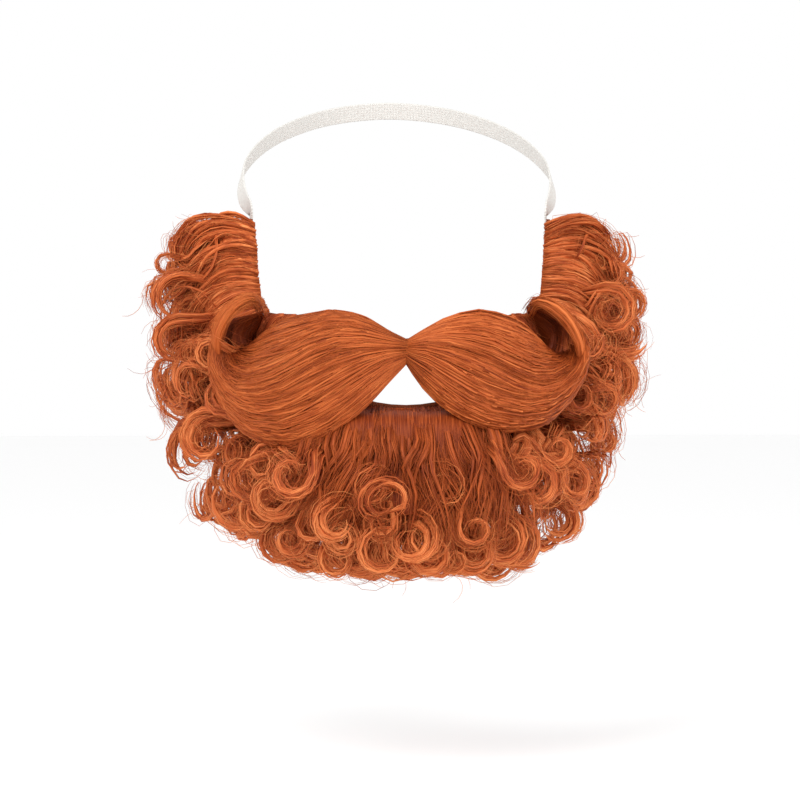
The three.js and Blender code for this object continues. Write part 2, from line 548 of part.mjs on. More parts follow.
// Everything on one side of the parting, to keep the two wings apart.
function halfSpace(side) {
  const reach = 2 * beardHalfWidth;
  const box = new THREE.BoxGeometry(reach, reach, reach).translate(side * (reach / 2 + gap / 2), 0, 0);
  return solidFrom(box);
}

function hairSolid(beds, locks, grow = 0) {
  return joined([...beds, ...locks.map((lock) => lockSolid(lock, grow))]);
}

// The band goes up from inside one sideburn, round behind the head, and down into the other one.
function bandSolid() {
  const inner = skinEase - 2 * gap - bandThickness;
  const front = new THREE.Vector3(0, -1, 0);
  const sewn = [0, 0.5, 1, 1.35].map((share) => {
    const height = sideburnRise - bandOverlap * (1 - share);
    const { normal } = skinAt(bandRoundShare, height);
    return { point: offSkin(bandRoundShare, height, inner), outward: normal };
  });
  const free = BAND.map(({ across, back, rise, turn }) => {
    const height = rise * bandRise;
    const point = new THREE.Vector3(across * headHalfWidth, back * bandBack, sideburnRise + height);
    const onHead = new THREE.Vector3(point.x, point.y - earDepth, height / 2).normalize();
    return { point, outward: onHead.lerp(front, turn).normalize() };
  });
  const half = [...sewn, ...free];
  const mirrored = half.slice(0, -1).reverse().map(({ point, outward }) => ({
    point: point.clone().setX(-point.x),
    outward: outward.clone().setX(-outward.x),
  }));
  const stations = [...half, ...mirrored];
  const path = new THREE.CatmullRomCurve3(stations.map((station) => station.point));
  const facing = new THREE.CatmullRomCurve3(stations.map((station) => station.outward));
  const steps = 2 * (stations.length - 1);
  return solidFrom(unitBlock(steps, 1), (u, v, w) => {
    const along = path.getTangent(u);
    const outward = facing.getPoint(u);
    outward.addScaledVector(along, -outward.dot(along)).normalize();
    const widthWay = new THREE.Vector3().crossVectors(outward, along);
    return path.getPoint(u)
      .addScaledVector(widthWay, (v - 0.5) * bandWidth)
      .addScaledVector(outward, w * bandThickness);
  });
}

const head = headCutter().add(backingShell(gap));
const sideburnLocks = (side) => [
  ...placedCurls(SIDEBURN_CURLS).filter((_, i) => Math.sign(SIDEBURN_CURLS[i].round) === side),
  ...fillingCurls(SIDEBURN_ROWS, side, side > 0 ? 100 : 200),
];
const sideburnHair = (side, grow = 0) => (
  hairSolid([bedSolid(SIDEBURN_BED, side, grow)], sideburnLocks(side), grow)
);

const leftWingGrown = wingSolid(LEFT_WING, 1, gap);
const rightWingGrown = wingSolid(RIGHT_WING, -1, gap);
const wingsGrown = leftWingGrown.add(rightWingGrown);
const moustacheLeft = mainBody(wingSolid(LEFT_WING, 1, 0).subtract(head).intersect(halfSpace(1)));
const moustacheRight = mainBody(wingSolid(RIGHT_WING, -1, 0).subtract(head).intersect(halfSpace(-1)));

const sideburn = (side) => mainBody(sideburnHair(side).subtract(head).subtract(wingsGrown));
const sideburnsGrown = sideburnHair(1, gap).add(sideburnHair(-1, gap));
const beardLocks = [
  ...placedCurls(BEARD_CURLS),
  ...fillingCurls(BEARD_ROWS, 1, 300),
  ...fillingCurls(BEARD_ROWS, -1, 400),
  ...chinLocks(),
];
const beardBeds = [bedSolid(BEARD_BED, 1, 0), bedSolid(BEARD_BED, -1, 0)];
const beard = mainBody(
  hairSolid(beardBeds, beardLocks)
    .subtract(head)
    .subtract(mouthCutter(gap))
    .subtract(wingsGrown)
    .subtract(sideburnsGrown),
);

const hairMaterial = new THREE.MeshStandardMaterial({ color: 0xb1552f, roughness: 0.5, metalness: 0 });
const backingMaterial = new THREE.MeshStandardMaterial({ color: 0x7a3a20, roughness: 0.9, metalness: 0 });
const bandMaterial = new THREE.MeshStandardMaterial({ color: 0xeeece6, roughness: 0.55, metalness: 0 });

const falseBeard = new THREE.Group();
falseBeard.add(
  meshFrom('face_backing', backingShell().subtract(mouthCutter()), backingMaterial),
  meshFrom('beard_hair', beard, hairMaterial),
  meshFrom('sideburn_left', sideburn(1), hairMaterial),
  meshFrom('sideburn_right', sideburn(-1), hairMaterial),
  meshFrom('moustache_left', moustacheLeft, hairMaterial),
  meshFrom('moustache_right', moustacheRight, hairMaterial),
  meshFrom('elastic_band', bandSolid(), bandMaterial),
);

export default falseBeard;
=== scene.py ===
import bpy
import numpy as np
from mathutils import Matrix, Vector


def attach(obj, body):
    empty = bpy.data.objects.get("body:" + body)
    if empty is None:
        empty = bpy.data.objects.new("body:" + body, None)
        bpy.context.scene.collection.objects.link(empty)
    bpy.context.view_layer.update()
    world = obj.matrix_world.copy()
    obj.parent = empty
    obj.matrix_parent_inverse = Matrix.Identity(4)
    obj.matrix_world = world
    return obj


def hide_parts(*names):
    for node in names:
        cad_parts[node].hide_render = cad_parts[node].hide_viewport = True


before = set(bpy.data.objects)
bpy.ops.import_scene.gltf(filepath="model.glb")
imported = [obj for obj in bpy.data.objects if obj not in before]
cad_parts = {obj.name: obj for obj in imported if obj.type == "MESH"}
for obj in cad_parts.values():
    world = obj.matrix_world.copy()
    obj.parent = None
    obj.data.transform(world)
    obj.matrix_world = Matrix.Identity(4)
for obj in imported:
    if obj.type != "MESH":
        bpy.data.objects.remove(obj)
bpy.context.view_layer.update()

MM = 0.001

# Camera, at the photograph's angle
photo_azimuth = np.radians(-2.5)
photo_elevation = np.radians(1.7)
camera_distance = 1.7
looked_at = Vector((-0.0027, 0.0, -0.0257))
back = Vector((
    np.sin(photo_azimuth) * np.cos(photo_elevation),
    -np.cos(photo_azimuth) * np.cos(photo_elevation),
    np.sin(photo_elevation),
))
camera = bpy.data.objects.new("camera", bpy.data.cameras.new("camera"))
camera.data.sensor_width = 36
camera.data.lens = 36 * camera_distance / (800 * 0.4667 * MM)
camera.location = looked_at + back * camera_distance
camera.rotation_euler = back.to_track_quat("Z", "Y").to_euler()
bpy.context.scene.collection.objects.link(camera)
bpy.context.scene.camera = camera

# The face that the beard fits, in millimetres
head_half_width = 72.0
ear_depth = 95.0
chin_drop = 70.0
face_squareness = 2.3

# The fabric backing
sideburn_rise = 60.0
skin_ease = 2.0
backing_wall = 1.6
mouth_width = 54.0
mouth_height = 19.0
mouth_drop = 18.5

# The hair
hair_bed = 27.0
bed_margin = 1.5
hair_stand = 30.0
beard_half_width = 123.0
beard_drop = 114.0
beard_front = 38.0
curl_radius = 10.0
lock_half_width = 4.0
lock_flatness = 1.25
moustache_half_width = 90.0
moustache_height = 46.0
moustache_stand = 10.0
moustache_sweep = 36.0
moustache_thickness = 20.0

# The elastic band
band_width = 9.0
band_thickness = 1.0
band_overlap = 12.0
band_back = 188.0
band_rise = 58.0
band_round = 0.9

gap = 0.3
hair_start = skin_ease + backing_wall + gap
root_depth = hair_start + 1.5

# Strands of hair
clump_flatness = 0.4
fibre_half_width = (0.08, 0.14)
streak_width = 0.42
streak_length = 14.0
band_ribs = 7
rib_height = 0.1
weft_pitch = 0.8
thread_radius = 0.22
parting_overlap = 1.0

# level, half width, front
FACE = np.array([
    (-1.35, 0.38, 0.36), (-1.1, 0.54, 0.17), (-0.9, 0.69, 0.06), (-0.65, 0.8, 0.03),
    (-0.35, 0.88, 0.02), (0, 0.94, 0), (0.5, 0.98, 0.02), (1.25, 1, 0.06),
])
# round, top, bottom
OUTLINE = np.array([
    (0, 0.05, -1.12), (0.2, 0.09, -1.11), (0.45, 0.24, -1.06), (0.66, 0.24, -0.98),
    (0.76, 0.36, -0.9), (0.82, 1, -0.84), (0.97, 0.98, -0.62),
])
# round, top, bottom, hang, depth
SIDEBURN_BED = np.array([
    (0.735, 0.3, 0.1, 0, 0.2), (0.78, 0.45, 0.1, 0, 0.5), (0.82, 0.94, 0.1, 0, 0.7),
    (0.89, 0.96, 0.1, 0, 0.8), (0.965, 0.94, 0.1, 0, 0.4),
])
BEARD_BED = np.array([
    (0, -0.42, -1.1, 0.55, 0.75), (0.12, -0.42, -1.1, 0.55, 0.75), (0.24, -0.42, -1.08, 0.55, 0.75),
    (0.36, -0.3, -1.05, 0.5, 0.8), (0.48, 0.15, -1.03, 0.45, 0.9), (0.6, 0.2, -1, 0.4, 1),
    (0.72, 0.2, -0.93, 0.4, 1.05), (0.84, 0.2, -0.82, 0.4, 1), (0.92, 0.2, -0.7, 0.3, 0.8),
    (0.965, 0.2, -0.62, 0.2, 0.4),
])
# Each wing's streams: high, upper, lower and low as (across, up) pairs, then tuck and dive
RIGHT_WING = np.array([
    (0.004, 0.05, 0.004, 0, 0.004, -0.08, 0.004, -0.17, 0, 0),
    (0.11, 0.17, 0.13, 0.04, 0.14, -0.15, 0.1, -0.4, 0, 0),
    (0.22, 0.3, 0.29, 0.07, 0.29, -0.32, 0.23, -0.67, 0, 0),
    (0.37, 0.36, 0.45, -0.02, 0.46, -0.5, 0.4, -0.93, 0, 0),
    (0.5, 0.32, 0.59, -0.19, 0.63, -0.63, 0.6, -1.07, 0, 0),
    (0.61, 0.28, 0.71, -0.3, 0.79, -0.6, 0.81, -0.93, 0, 0.2),
    (0.69, 0.18, 0.82, -0.33, 0.91, -0.38, 0.95, -0.6, 0.05, 0.6),
    (0.75, 0.02, 0.88, -0.1, 0.95, -0.05, 1, -0.2, 0.15, 1),
    (0.8, -0.14, 0.86, 0.13, 0.91, 0.2, 0.96, 0.18, 0.35, 1.1),
    (0.82, -0.1, 0.74, 0.27, 0.74, 0.31, 0.74, 0.34, 0.7, 1.1),
])
LEFT_WING = np.array([
    (0.004, 0.05, 0.004, 0, 0.004, -0.08, 0.004, -0.17, 0, 0),
    (0.12, 0.2, 0.13, 0.03, 0.13, -0.2, 0.09, -0.45, 0, 0),
    (0.23, 0.3, 0.26, -0.02, 0.26, -0.37, 0.22, -0.68, 0, 0),
    (0.37, 0.36, 0.4, -0.12, 0.41, -0.52, 0.4, -0.85, 0, 0),
    (0.5, 0.31, 0.54, -0.26, 0.59, -0.6, 0.59, -0.88, 0, 0),
    (0.6, 0.23, 0.65, -0.34, 0.74, -0.53, 0.76, -0.77, 0, 0.2),
    (0.68, 0.08, 0.78, -0.27, 0.86, -0.3, 0.91, -0.42, 0.05, 0.6),
    (0.72, -0.1, 0.86, -0.05, 0.9, 0, 0.945, -0.08, 0.15, 1),
    (0.75, -0.2, 0.82, 0.2, 0.84, 0.24, 0.88, 0.24, 0.35, 1.1),
    (0.78, -0.16, 0.66, 0.33, 0.66, 0.38, 0.66, 0.42, 0.7, 1.1),
])
# Hair that rounds the top of each roll and joins the cheek's: across, up, back
RIGHT_RIM = np.array([
    (0.97, -0.28, 0.8), (0.985, 0.02, 0.62), (0.95, 0.26, 0.57), (0.86, 0.43, 0.58), (0.775, 0.46, 0.68),
    (0.73, 0.2, 0.9),
])
LEFT_RIM = np.array([
    (0.93, -0.3, 0.7), (0.93, -0.02, 0.52), (0.88, 0.2, 0.47), (0.79, 0.38, 0.47), (0.69, 0.45, 0.54),
    (0.63, 0.2, 0.78),
])
# round, level, across, up, deep, size, turns, spin, wide
SIDEBURN_CURLS = np.array([
    (-0.88, 0.88, -0.79, 0.73, 0.78, 1.25, 0.62, 1, 0.9),
    (-0.86, 0.62, -0.92, 0.63, 0.72, 0.5, 0.85, 1, 0.35),
    (-0.85, 0.5, -0.88, 0.36, 0.6, 1.1, 0.5, 1, 1),
    (-0.85, 0.42, -0.93, 0.4, 0.72, 0.55, 0.8, 1, 0.5),
    (-0.83, 0.25, -0.87, 0.02, 0.55, 1.1, 0.6, 1, 0.9),
    (0.88, 0.9, 0.7, 0.58, 0.8, 2.1, 0.32, -1, 1.3),
    (0.86, 0.75, 0.83, 0.55, 0.72, 0.65, 0.9, -1, 0.5),
    (0.85, 0.5, 0.91, 0.3, 0.72, 0.75, 0.6, -1, 0.45),
    (0.84, 0.4, 0.82, 0.27, 0.56, 1.1, 0.95, -1, 0.8),
])
BEARD_CURLS = np.array([
    (-0.82, -0.05, -0.81, -0.1, 0.6, 1.2, 0.4, 1, 0.9),
    (-0.84, -0.2, -0.81, -0.28, 0.66, 1.8, 0.4, 1, 0.35),
    (-0.72, -0.35, -0.74, -0.39, 0.45, 1.05, 0.95, 1, 0.8),
    (-0.78, -0.55, -0.61, -0.57, 0.48, 1.5, 0.3, 1, 0.8),
    (-0.6, -0.8, -0.54, -0.68, 0.3, 1, 0.55, -1, 1),
    (-0.5, -0.6, -0.46, -0.54, 0.12, 1.1, 0.65, -1, 1),
    (-0.5, -1, -0.46, -0.82, 0.2, 0.9, 0.8, 1, 1),
    (-0.15, -0.8, -0.11, -0.62, -0.75, 0.95, 0.6, 1, 1.1),
    (-0.3, -0.9, -0.27, -0.71, -0.55, 0.9, 0.6, 1, 1),
    (-0.15, -1.05, -0.1, -0.83, -0.5, 1, 0.85, 1, 0.8),
    (-0.3, -1.08, -0.26, -0.87, -0.3, 0.75, 0.8, 1, 0.7),
    (0.8, 0, 0.88, 0.13, 0.62, 1.4, 0.15, 1, 1),
    (0.82, -0.2, 0.81, -0.17, 0.6, 1.5, 0.45, -1, 0.9),
    (0.8, -0.5, 0.79, -0.42, 0.55, 0.5, 0.6, -1, 0.6),
    (0.66, -0.7, 0.6, -0.59, 0.36, 0.85, 0.6, -1, 1),
    (0.58, -0.5, 0.56, -0.42, 0.22, 1.1, 0.5, 1, 1),
    (0.2, -1.05, 0.17, -0.87, -0.45, 0.62, 0.75, 1, 0.5),
    (0.36, -1, 0.36, -0.8, -0.1, 1, 0.7, -1, 1),
    (0.5, -1, 0.46, -0.82, 0.05, 1.2, 0.25, 1, 0.5),
    (0.62, -0.9, 0.59, -0.74, 0.3, 0.9, 0.7, -1, 0.9),
    (0.02, -1.06, 0.02, -0.79, -0.5, 1, 0.8, -1, 1.3),
    (0.07, -1.08, 0.09, -0.84, -0.4, 0.85, 0.8, 1, 1.2),
    (-0.05, -1.08, -0.03, -0.85, -0.4, 0.8, 0.85, 1, 1.2),
    (0.28, -1.05, 0.26, -0.84, -0.3, 0.9, 0.8, 1, 1.2),
])
# The band's free half, from a sideburn's top to the middle of the back: across, back, rise, turn
BAND = np.array([
    (1.04, 0.46, 0.17, 0.35), (1.06, 0.52, 0.3, 0.35), (1.03, 0.6, 0.46, 0.1), (0.88, 0.74, 0.68, 0),
    (0.64, 0.87, 0.85, 0), (0.34, 0.97, 0.96, 0), (0, 1, 1, 0),
])
# count, from, to, level, stand, drop, size, turns, wide
SIDEBURN_ROWS = [
    (2, 0.86, 0.96, 0.74, 0.75, 0.1, 1.1, 0.7, 1.2),
    (2, 0.84, 0.95, 0.34, 1.1, 0.3, 1.2, 0.7, 1.2),
    (3, 0.9, 0.965, 0.9, 0.7, 0, 0.7, 0.8, 0.8),
    (3, 0.89, 0.965, 0.58, 0.95, 0.1, 0.75, 0.8, 0.8),
    (4, 0.88, 0.965, 0.2, 1.05, 0.2, 0.75, 0.8, 0.8),
    (3, 0.88, 0.965, 0.78, 1.1, 0.1, 0.75, 0.75, 0.9),
    (3, 0.88, 0.965, 0.48, 1.25, 0.2, 0.75, 0.75, 0.9),
    (3, 0.87, 0.96, 0.14, 1.35, 0.3, 0.75, 0.75, 0.9),
]
BEARD_ROWS = [
    (3, 0.74, 0.95, -0.1, 1.2, 0.4, 1.2, 0.65, 1.4),
    (3, 0.66, 0.92, -0.45, 1.2, 0.5, 1.2, 0.65, 1.4),
    (3, 0.5, 0.86, -0.75, 1, 0.7, 1.2, 0.65, 1.4),
    (3, 0.2, 0.7, -1.02, 0.75, 0.9, 1.1, 0.65, 1.3),
    (4, 0.66, 0.965, 0.04, 1.1, 0.2, 0.8, 0.8, 0.8),
    (5, 0.6, 0.95, -0.26, 1.15, 0.3, 0.8, 0.8, 0.8),
    (5, 0.46, 0.94, -0.56, 1.1, 0.4, 0.8, 0.8, 0.8),
    (5, 0.1, 0.88, -0.84, 0.85, 0.7, 0.8, 0.8, 0.8),
    (7, 0.04, 0.8, -1.04, 0.62, 1.1, 0.75, 0.85, 0.95),
    (6, 0.03, 0.62, -1.08, 0.32, 1.4, 1.0, 0.7, 1.2),
    (4, 0.05, 0.5, -0.98, 0.95, 0.9, 0.95, 0.7, 1.0),
    (4, 0.72, 0.95, -0.14, 1.35, 0.5, 0.95, 0.75, 1.0),
    (6, 0.3, 0.86, -0.68, 1.2, 0.8, 0.95, 0.85, 1.0),
    (7, 0.08, 0.74, -0.9, 1.0, 0.9, 0.9, 0.85, 1.0),
]
# count, from, to, level, reach, fall, radius, turns, wide
SIDEBURN_WAVES = [
    (5, 0.87, 0.965, 0.7, 1.0, 0.77, 0.85, 1.5, 0.8),
    (5, 0.86, 0.965, 0.35, 1.05, 0.85, 0.85, 1.5, 0.8),
]
BEARD_WAVES = [
    (4, 0.68, 0.96, 0.0, 0.85, 0.74, 0.95, 1.5, 0.9),
    (4, 0.6, 0.94, -0.3, 0.85, 0.7, 0.95, 1.6, 0.9),
    (3, 0.35, 0.9, -0.58, 0.8, 0.7, 0.95, 1.6, 0.9),
]

def height_at(level, drop=chin_drop):
    """Height in mm: shares of the sideburns' rise above the nose's base, of drop below it."""
    level = np.asarray(level, float)
    return level * np.where(level > 0, sideburn_rise, drop)


def table_curve(keys, values):
    """Cubic Hermite curve through (key, value) rows, each slope taken between a row's neighbours."""
    keys, values = np.asarray(keys, float), np.asarray(values, float)
    last = len(keys) - 1
    low = np.maximum(np.arange(last + 1) - 1, 0)
    high = np.minimum(np.arange(last + 1) + 1, last)
    slopes = (values[high] - values[low]) / (keys[high] - keys[low])

    def at(key):
        key = np.asarray(key, float)
        i = np.clip(np.searchsorted(keys, key) - 1, 0, last - 1)
        width = keys[i + 1] - keys[i]
        t = np.clip((key - keys[i]) / width, 0, 1)
        return (
            (2 * t**3 - 3 * t**2 + 1) * values[i] + (t**3 - 2 * t**2 + t) * width * slopes[i]
            + (3 * t**2 - 2 * t**3) * values[i + 1] + (t**3 - t**2) * width * slopes[i + 1]
        )
    return at


face_half_width = table_curve(height_at(FACE[:, 0]), FACE[:, 1])
face_front = table_curve(height_at(FACE[:, 0]), FACE[:, 2])


def smooth(t):
    """0 to 1 with level ends: 3t^2 - 2t^3."""
    t = np.clip(t, 0, 1)
    return t * t * (3 - 2 * t)


def unit(v):
    return v / np.maximum(np.linalg.norm(v, axis=-1, keepdims=True), 1e-9)


def outline_at(place, column):
    """The backing's edge between two rows of its table, level at the rows."""
    place = np.abs(np.asarray(place, float))
    i = np.clip(np.searchsorted(OUTLINE[:, 0], place) - 1, 0, len(OUTLINE) - 2)
    a, b = OUTLINE[i], OUTLINE[i + 1]
    t = smooth((place - a[..., 0]) / (b[..., 0] - a[..., 0]))
    return height_at(a[..., column] + (b[..., column] - a[..., column]) * t)


def face_field(x, y, z):
    """A superellipse in plan: (|x| / half width)^n + (|ear depth - y| / depth)^n, 1 on the skin."""
    half_width = face_half_width(z) * head_half_width
    depth = ear_depth * (1 - face_front(z))
    return (np.abs(x) / half_width) ** face_squareness + (np.abs(ear_depth - y) / depth) ** face_squareness


def skin_at(place, z):
    """The skin's points and outward normals at places round the face (0 front, 1 ear) and heights."""
    place, z = np.broadcast_arrays(np.asarray(place, float), np.asarray(z, float))
    angle = np.abs(place) * np.pi / 2
    power = 2 / face_squareness
    x = np.sign(place) * head_half_width * face_half_width(z) * np.sin(angle) ** power
    y = ear_depth * (1 - (1 - face_front(z)) * np.maximum(np.cos(angle), 0) ** power)
    step = 0.5
    slope = np.stack([
        face_field(x + step, y, z) - face_field(x - step, y, z),
        face_field(x, y + step, z) - face_field(x, y - step, z),
        face_field(x, y, z + step) - face_field(x, y, z - step),
    ], -1)
    return np.stack([x, y, z], -1), unit(slope)


def off_skin(place, z, distance):
    point, normal = skin_at(place, z)
    return point + normal * np.asarray(distance, float)[..., None]


def clear_of_skin(points):
    """Points that would be in the backing are moved out to its front: x and y are scaled about the
    head's axis by the -1/n power of the face's field with the hair's start added to its radii. The
    move fades out below the chin."""
    x, y, z = points[..., 0], points[..., 1], points[..., 2]
    clearance = hair_start + 0.5
    half_width = face_half_width(z) * head_half_width + clearance
    depth = ear_depth * (1 - face_front(z)) + clearance
    inside = (np.abs(x) / half_width) ** face_squareness + (np.abs(ear_depth - y) / depth) ** face_squareness
    out = np.clip(inside, 0.05, 1) ** (-1 / face_squareness)
    out = 1 + (out - 1) * smooth((z + 84) / 8)
    return np.stack([x * out, ear_depth + (y - ear_depth) * out, z], -1)


def painted_hollow_shade(points):
    """From 0 to 1, how far points are in the hollow behind a moustache's roll: the weight of the painted shade that
    darkens the hair there.
    """
    x, y, z = points[..., 0], points[..., 1], points[..., 2]
    level = smooth((z + 22) / 8) * smooth((15 - z) / 5)
    return smooth((81 - np.abs(x)) / 6) * smooth((y - 17) / 7) * level


def scatter(index):
    """A repeatable number from 0 to 1 for an index: the fraction of 43758.5453 sin(12.9898 i + 4.1)."""
    value = np.sin(np.asarray(index, float) * 12.9898 + 4.1) * 43758.5453
    return value - np.floor(value)


def smooth_curve(points, t):
    """A centripetal Catmull-Rom curve through all the points, at t from 0 to 1 with each stretch alike.
    Its ends carry on straight."""
    full = np.concatenate([2 * points[:1] - points[1:2], points, 2 * points[-1:] - points[-2:-1]])
    place = t * (len(points) - 1)
    i = np.minimum(place.astype(int), len(points) - 2)
    f = (place - i)[:, None]
    p0, p1, p2, p3 = (full[i + k] for k in range(4))
    d0, d1, d2 = (
        np.sqrt(np.linalg.norm(b - a, axis=-1, keepdims=True)) for a, b in ((p0, p1), (p1, p2), (p2, p3))
    )
    m1 = ((p1 - p0) / d0 - (p2 - p0) / (d0 + d1) + (p2 - p1) / d1) * d1
    m2 = ((p2 - p1) / d1 - (p3 - p1) / (d1 + d2) + (p3 - p2) / d2) * d1
    return p1 + m1 * f + (3 * (p2 - p1) - 2 * m1 - m2) * f**2 + (2 * (p1 - p2) + m1 + m2) * f**3


# Meshes

def new_mesh(name, points, quads, triangles, attributes, materials, material_of_face=None):
    """A smooth-shaded mesh from whole arrays, points in millimetres."""
    mesh = bpy.data.meshes.new(name)
    mesh.vertices.add(len(points))
    mesh.vertices.foreach_set("co", (points * MM).astype(np.float32).ravel())
    corners = np.concatenate([quads.ravel(), triangles.ravel()]).astype(np.int32)
    totals = np.concatenate([np.full(len(quads), 4), np.full(len(triangles), 3)]).astype(np.int32)
    mesh.loops.add(len(corners))
    mesh.loops.foreach_set("vertex_index", corners)
    mesh.polygons.add(len(totals))
    mesh.polygons.foreach_set("loop_start", (np.cumsum(totals) - totals).astype(np.int32))
    mesh.polygons.foreach_set("use_smooth", np.ones(len(totals), bool))
    if material_of_face is not None:
        mesh.polygons.foreach_set("material_index", material_of_face.astype(np.int32))
    for key, values in attributes.items():
        layer = mesh.attributes.new(key, "FLOAT", "POINT")
        layer.data.foreach_set("value", values.astype(np.float32))
    for material in materials:
        mesh.materials.append(material)
    mesh.update(calc_edges=True)
    mesh.validate()
    obj = bpy.data.objects.new(name, mesh)
    bpy.context.scene.collection.objects.link(obj)
    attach(obj, "root")
    return obj


def carried_frames(paths, deep_way, start=0):
    """Unit tangents and deep directions along paths (n, m, 3): the deep direction given at one
    station is carried to the others by taking out its part along each next tangent."""
    tangents = np.empty_like(paths)
    tangents[:, 1:-1] = paths[:, 2:] - paths[:, :-2]
    tangents[:, 0] = paths[:, 1] - paths[:, 0]
    tangents[:, -1] = paths[:, -1] - paths[:, -2]
    tangents = unit(tangents)
    deep = np.empty_like(paths)

    def carried(way, tangent):
        return unit(way - (way * tangent).sum(-1, keepdims=True) * tangent)
    deep[:, start] = carried(deep_way, tangents[:, start])
    for i in range(start + 1, paths.shape[1]):
        deep[:, i] = carried(deep[:, i - 1], tangents[:, i])
    for i in range(start - 1, -1, -1):
        deep[:, i] = carried(deep[:, i + 1], tangents[:, i])
    return tangents, deep


def tubes(paths, deep, tangents, half_wide, half_deep, sides):
    """Closed tubes along paths: ring k of path p is the path point plus
    cos(a) half_wide (deep x tangent) + sin(a) half_deep deep. Returns points, quads, triangles and
    each point's place across its tube."""
    n, m = paths.shape[:2]
    wide = np.cross(deep, tangents)
    angles = 2 * np.pi * np.arange(sides) / sides
    across = np.cos(angles) * half_wide[..., None]
    ring = (
        paths[:, :, None] + wide[:, :, None] * across[..., None]
        + deep[:, :, None] * (np.sin(angles) * half_deep[..., None])[..., None]
    )
    return ring.reshape(-1, 3), *joined_rings(n, m, sides), across


def joined_rings(n, m, sides):
    """Quads between the m rings of n shapes, and the triangles that close their ends."""
    first = (np.arange(n) * m * sides)[:, None, None] + (np.arange(m - 1) * sides)[None, :, None]
    s = np.arange(sides)[None, None, :]
    t = (s + 1) % sides
    quads = np.stack([first + s, first + t, first + t + sides, first + s + sides], -1).reshape(-1, 4)
    fan = np.arange(1, sides - 1)
    base = (np.arange(n) * m * sides)[:, None]
    tip = base + (m - 1) * sides
    caps = np.concatenate([
        np.stack([base + 0 * fan, base + fan + 1, base + fan], -1),
        np.stack([tip + 0 * fan, tip + fan, tip + fan + 1], -1),
    ], 1).reshape(-1, 3)
    return quads, caps


def run_along(paths):
    """How far along its path each point is, in mm."""
    steps = np.linalg.norm(np.diff(paths, axis=1), axis=-1)
    return np.concatenate([np.zeros((len(paths), 1)), np.cumsum(steps, 1)], 1)


class Bundle:
    """Collects closed shapes of hair with their tone, from 0 dark to 1 light, and each point's place
    across the hair and along it in mm."""

    def __init__(self):
        self.points, self.quads, self.triangles = [], [], []
        self.tone, self.across, self.along = [], [], []
        self.tips = []
        self.count = 0

    def add(self, points, quads, triangles, tone, across, along):
        self.points.append(points)
        self.quads.append(quads + self.count)
        self.triangles.append(triangles + self.count)
        self.tone.append(np.clip(tone, 0, 1).ravel())
        self.across.append(across.ravel())
        self.along.append(along.ravel())
        self.count += len(points)

    def add_tubes(self, paths, deep_way, start, half_wide, half_deep, sides, tone):
        """Tubes along paths. tone is one number a path, or one a station; painted shade darkens it by 0.4 in the hollow
        behind the moustache's roll.
        """
        tangents, deep = carried_frames(paths, deep_way, start)
        points, quads, triangles, across = tubes(paths, deep, tangents, half_wide, half_deep, sides)
        n, m = paths.shape[:2]
        shift = 60 * scatter(self.count + np.arange(n))[:, None, None]
        self.tips.append(np.stack([paths[:, -5], tangents[:, -5], paths[:, -2], tangents[:, -2]], 1))
        # Painted shade: darker in the hollow behind the moustache's roll.
        tone = np.asarray(tone, float).reshape(n, -1, 1) - 0.4 * painted_hollow_shade(paths)[..., None]
        self.add(
            points, quads, triangles, np.broadcast_to(tone, (n, m, sides)),
            across + shift, np.broadcast_to(run_along(paths)[..., None], (n, m, sides)),
        )

    def add_clumps(self, paths, deep_way, start, half_wide, tone, sides=3):
        """Flat clumps of fibres: 0.6 of their width at the root, full from a fifth of the way, and
        pointed at the tip."""
        t = np.linspace(0, 1, paths.shape[1])[None]
        width = half_wide[:, None] * (0.6 + 0.4 * smooth(t / 0.2)) * (1 - 0.88 * smooth((t - 0.5) / 0.5))
        self.add_tubes(paths, deep_way, start, width, width * clump_flatness, sides, tone)

    def add_fibres(self, paths, deep_way, start, rng, tone):
        """Fine strands, thinner from three quarters of the way to the tip."""
        t = np.linspace(0, 1, paths.shape[1])[None]
        width = rng.uniform(*fibre_half_width, (len(paths), 1)) * (1 - 0.5 * smooth((t - 0.75) / 0.25))
        self.add_tubes(paths, deep_way, start, width, width * 0.8, 3, tone)

    def mesh(self, name, material):
        quads, triangles = np.concatenate(self.quads), np.concatenate(self.triangles)
        print(name, "triangles", 2 * len(quads) + len(triangles))
        return new_mesh(name, np.concatenate(self.points), quads, triangles, {
            "tone": np.concatenate(self.tone), "across": np.concatenate(self.across),
            "along": np.concatenate(self.along),
        }, [material])


# Hair

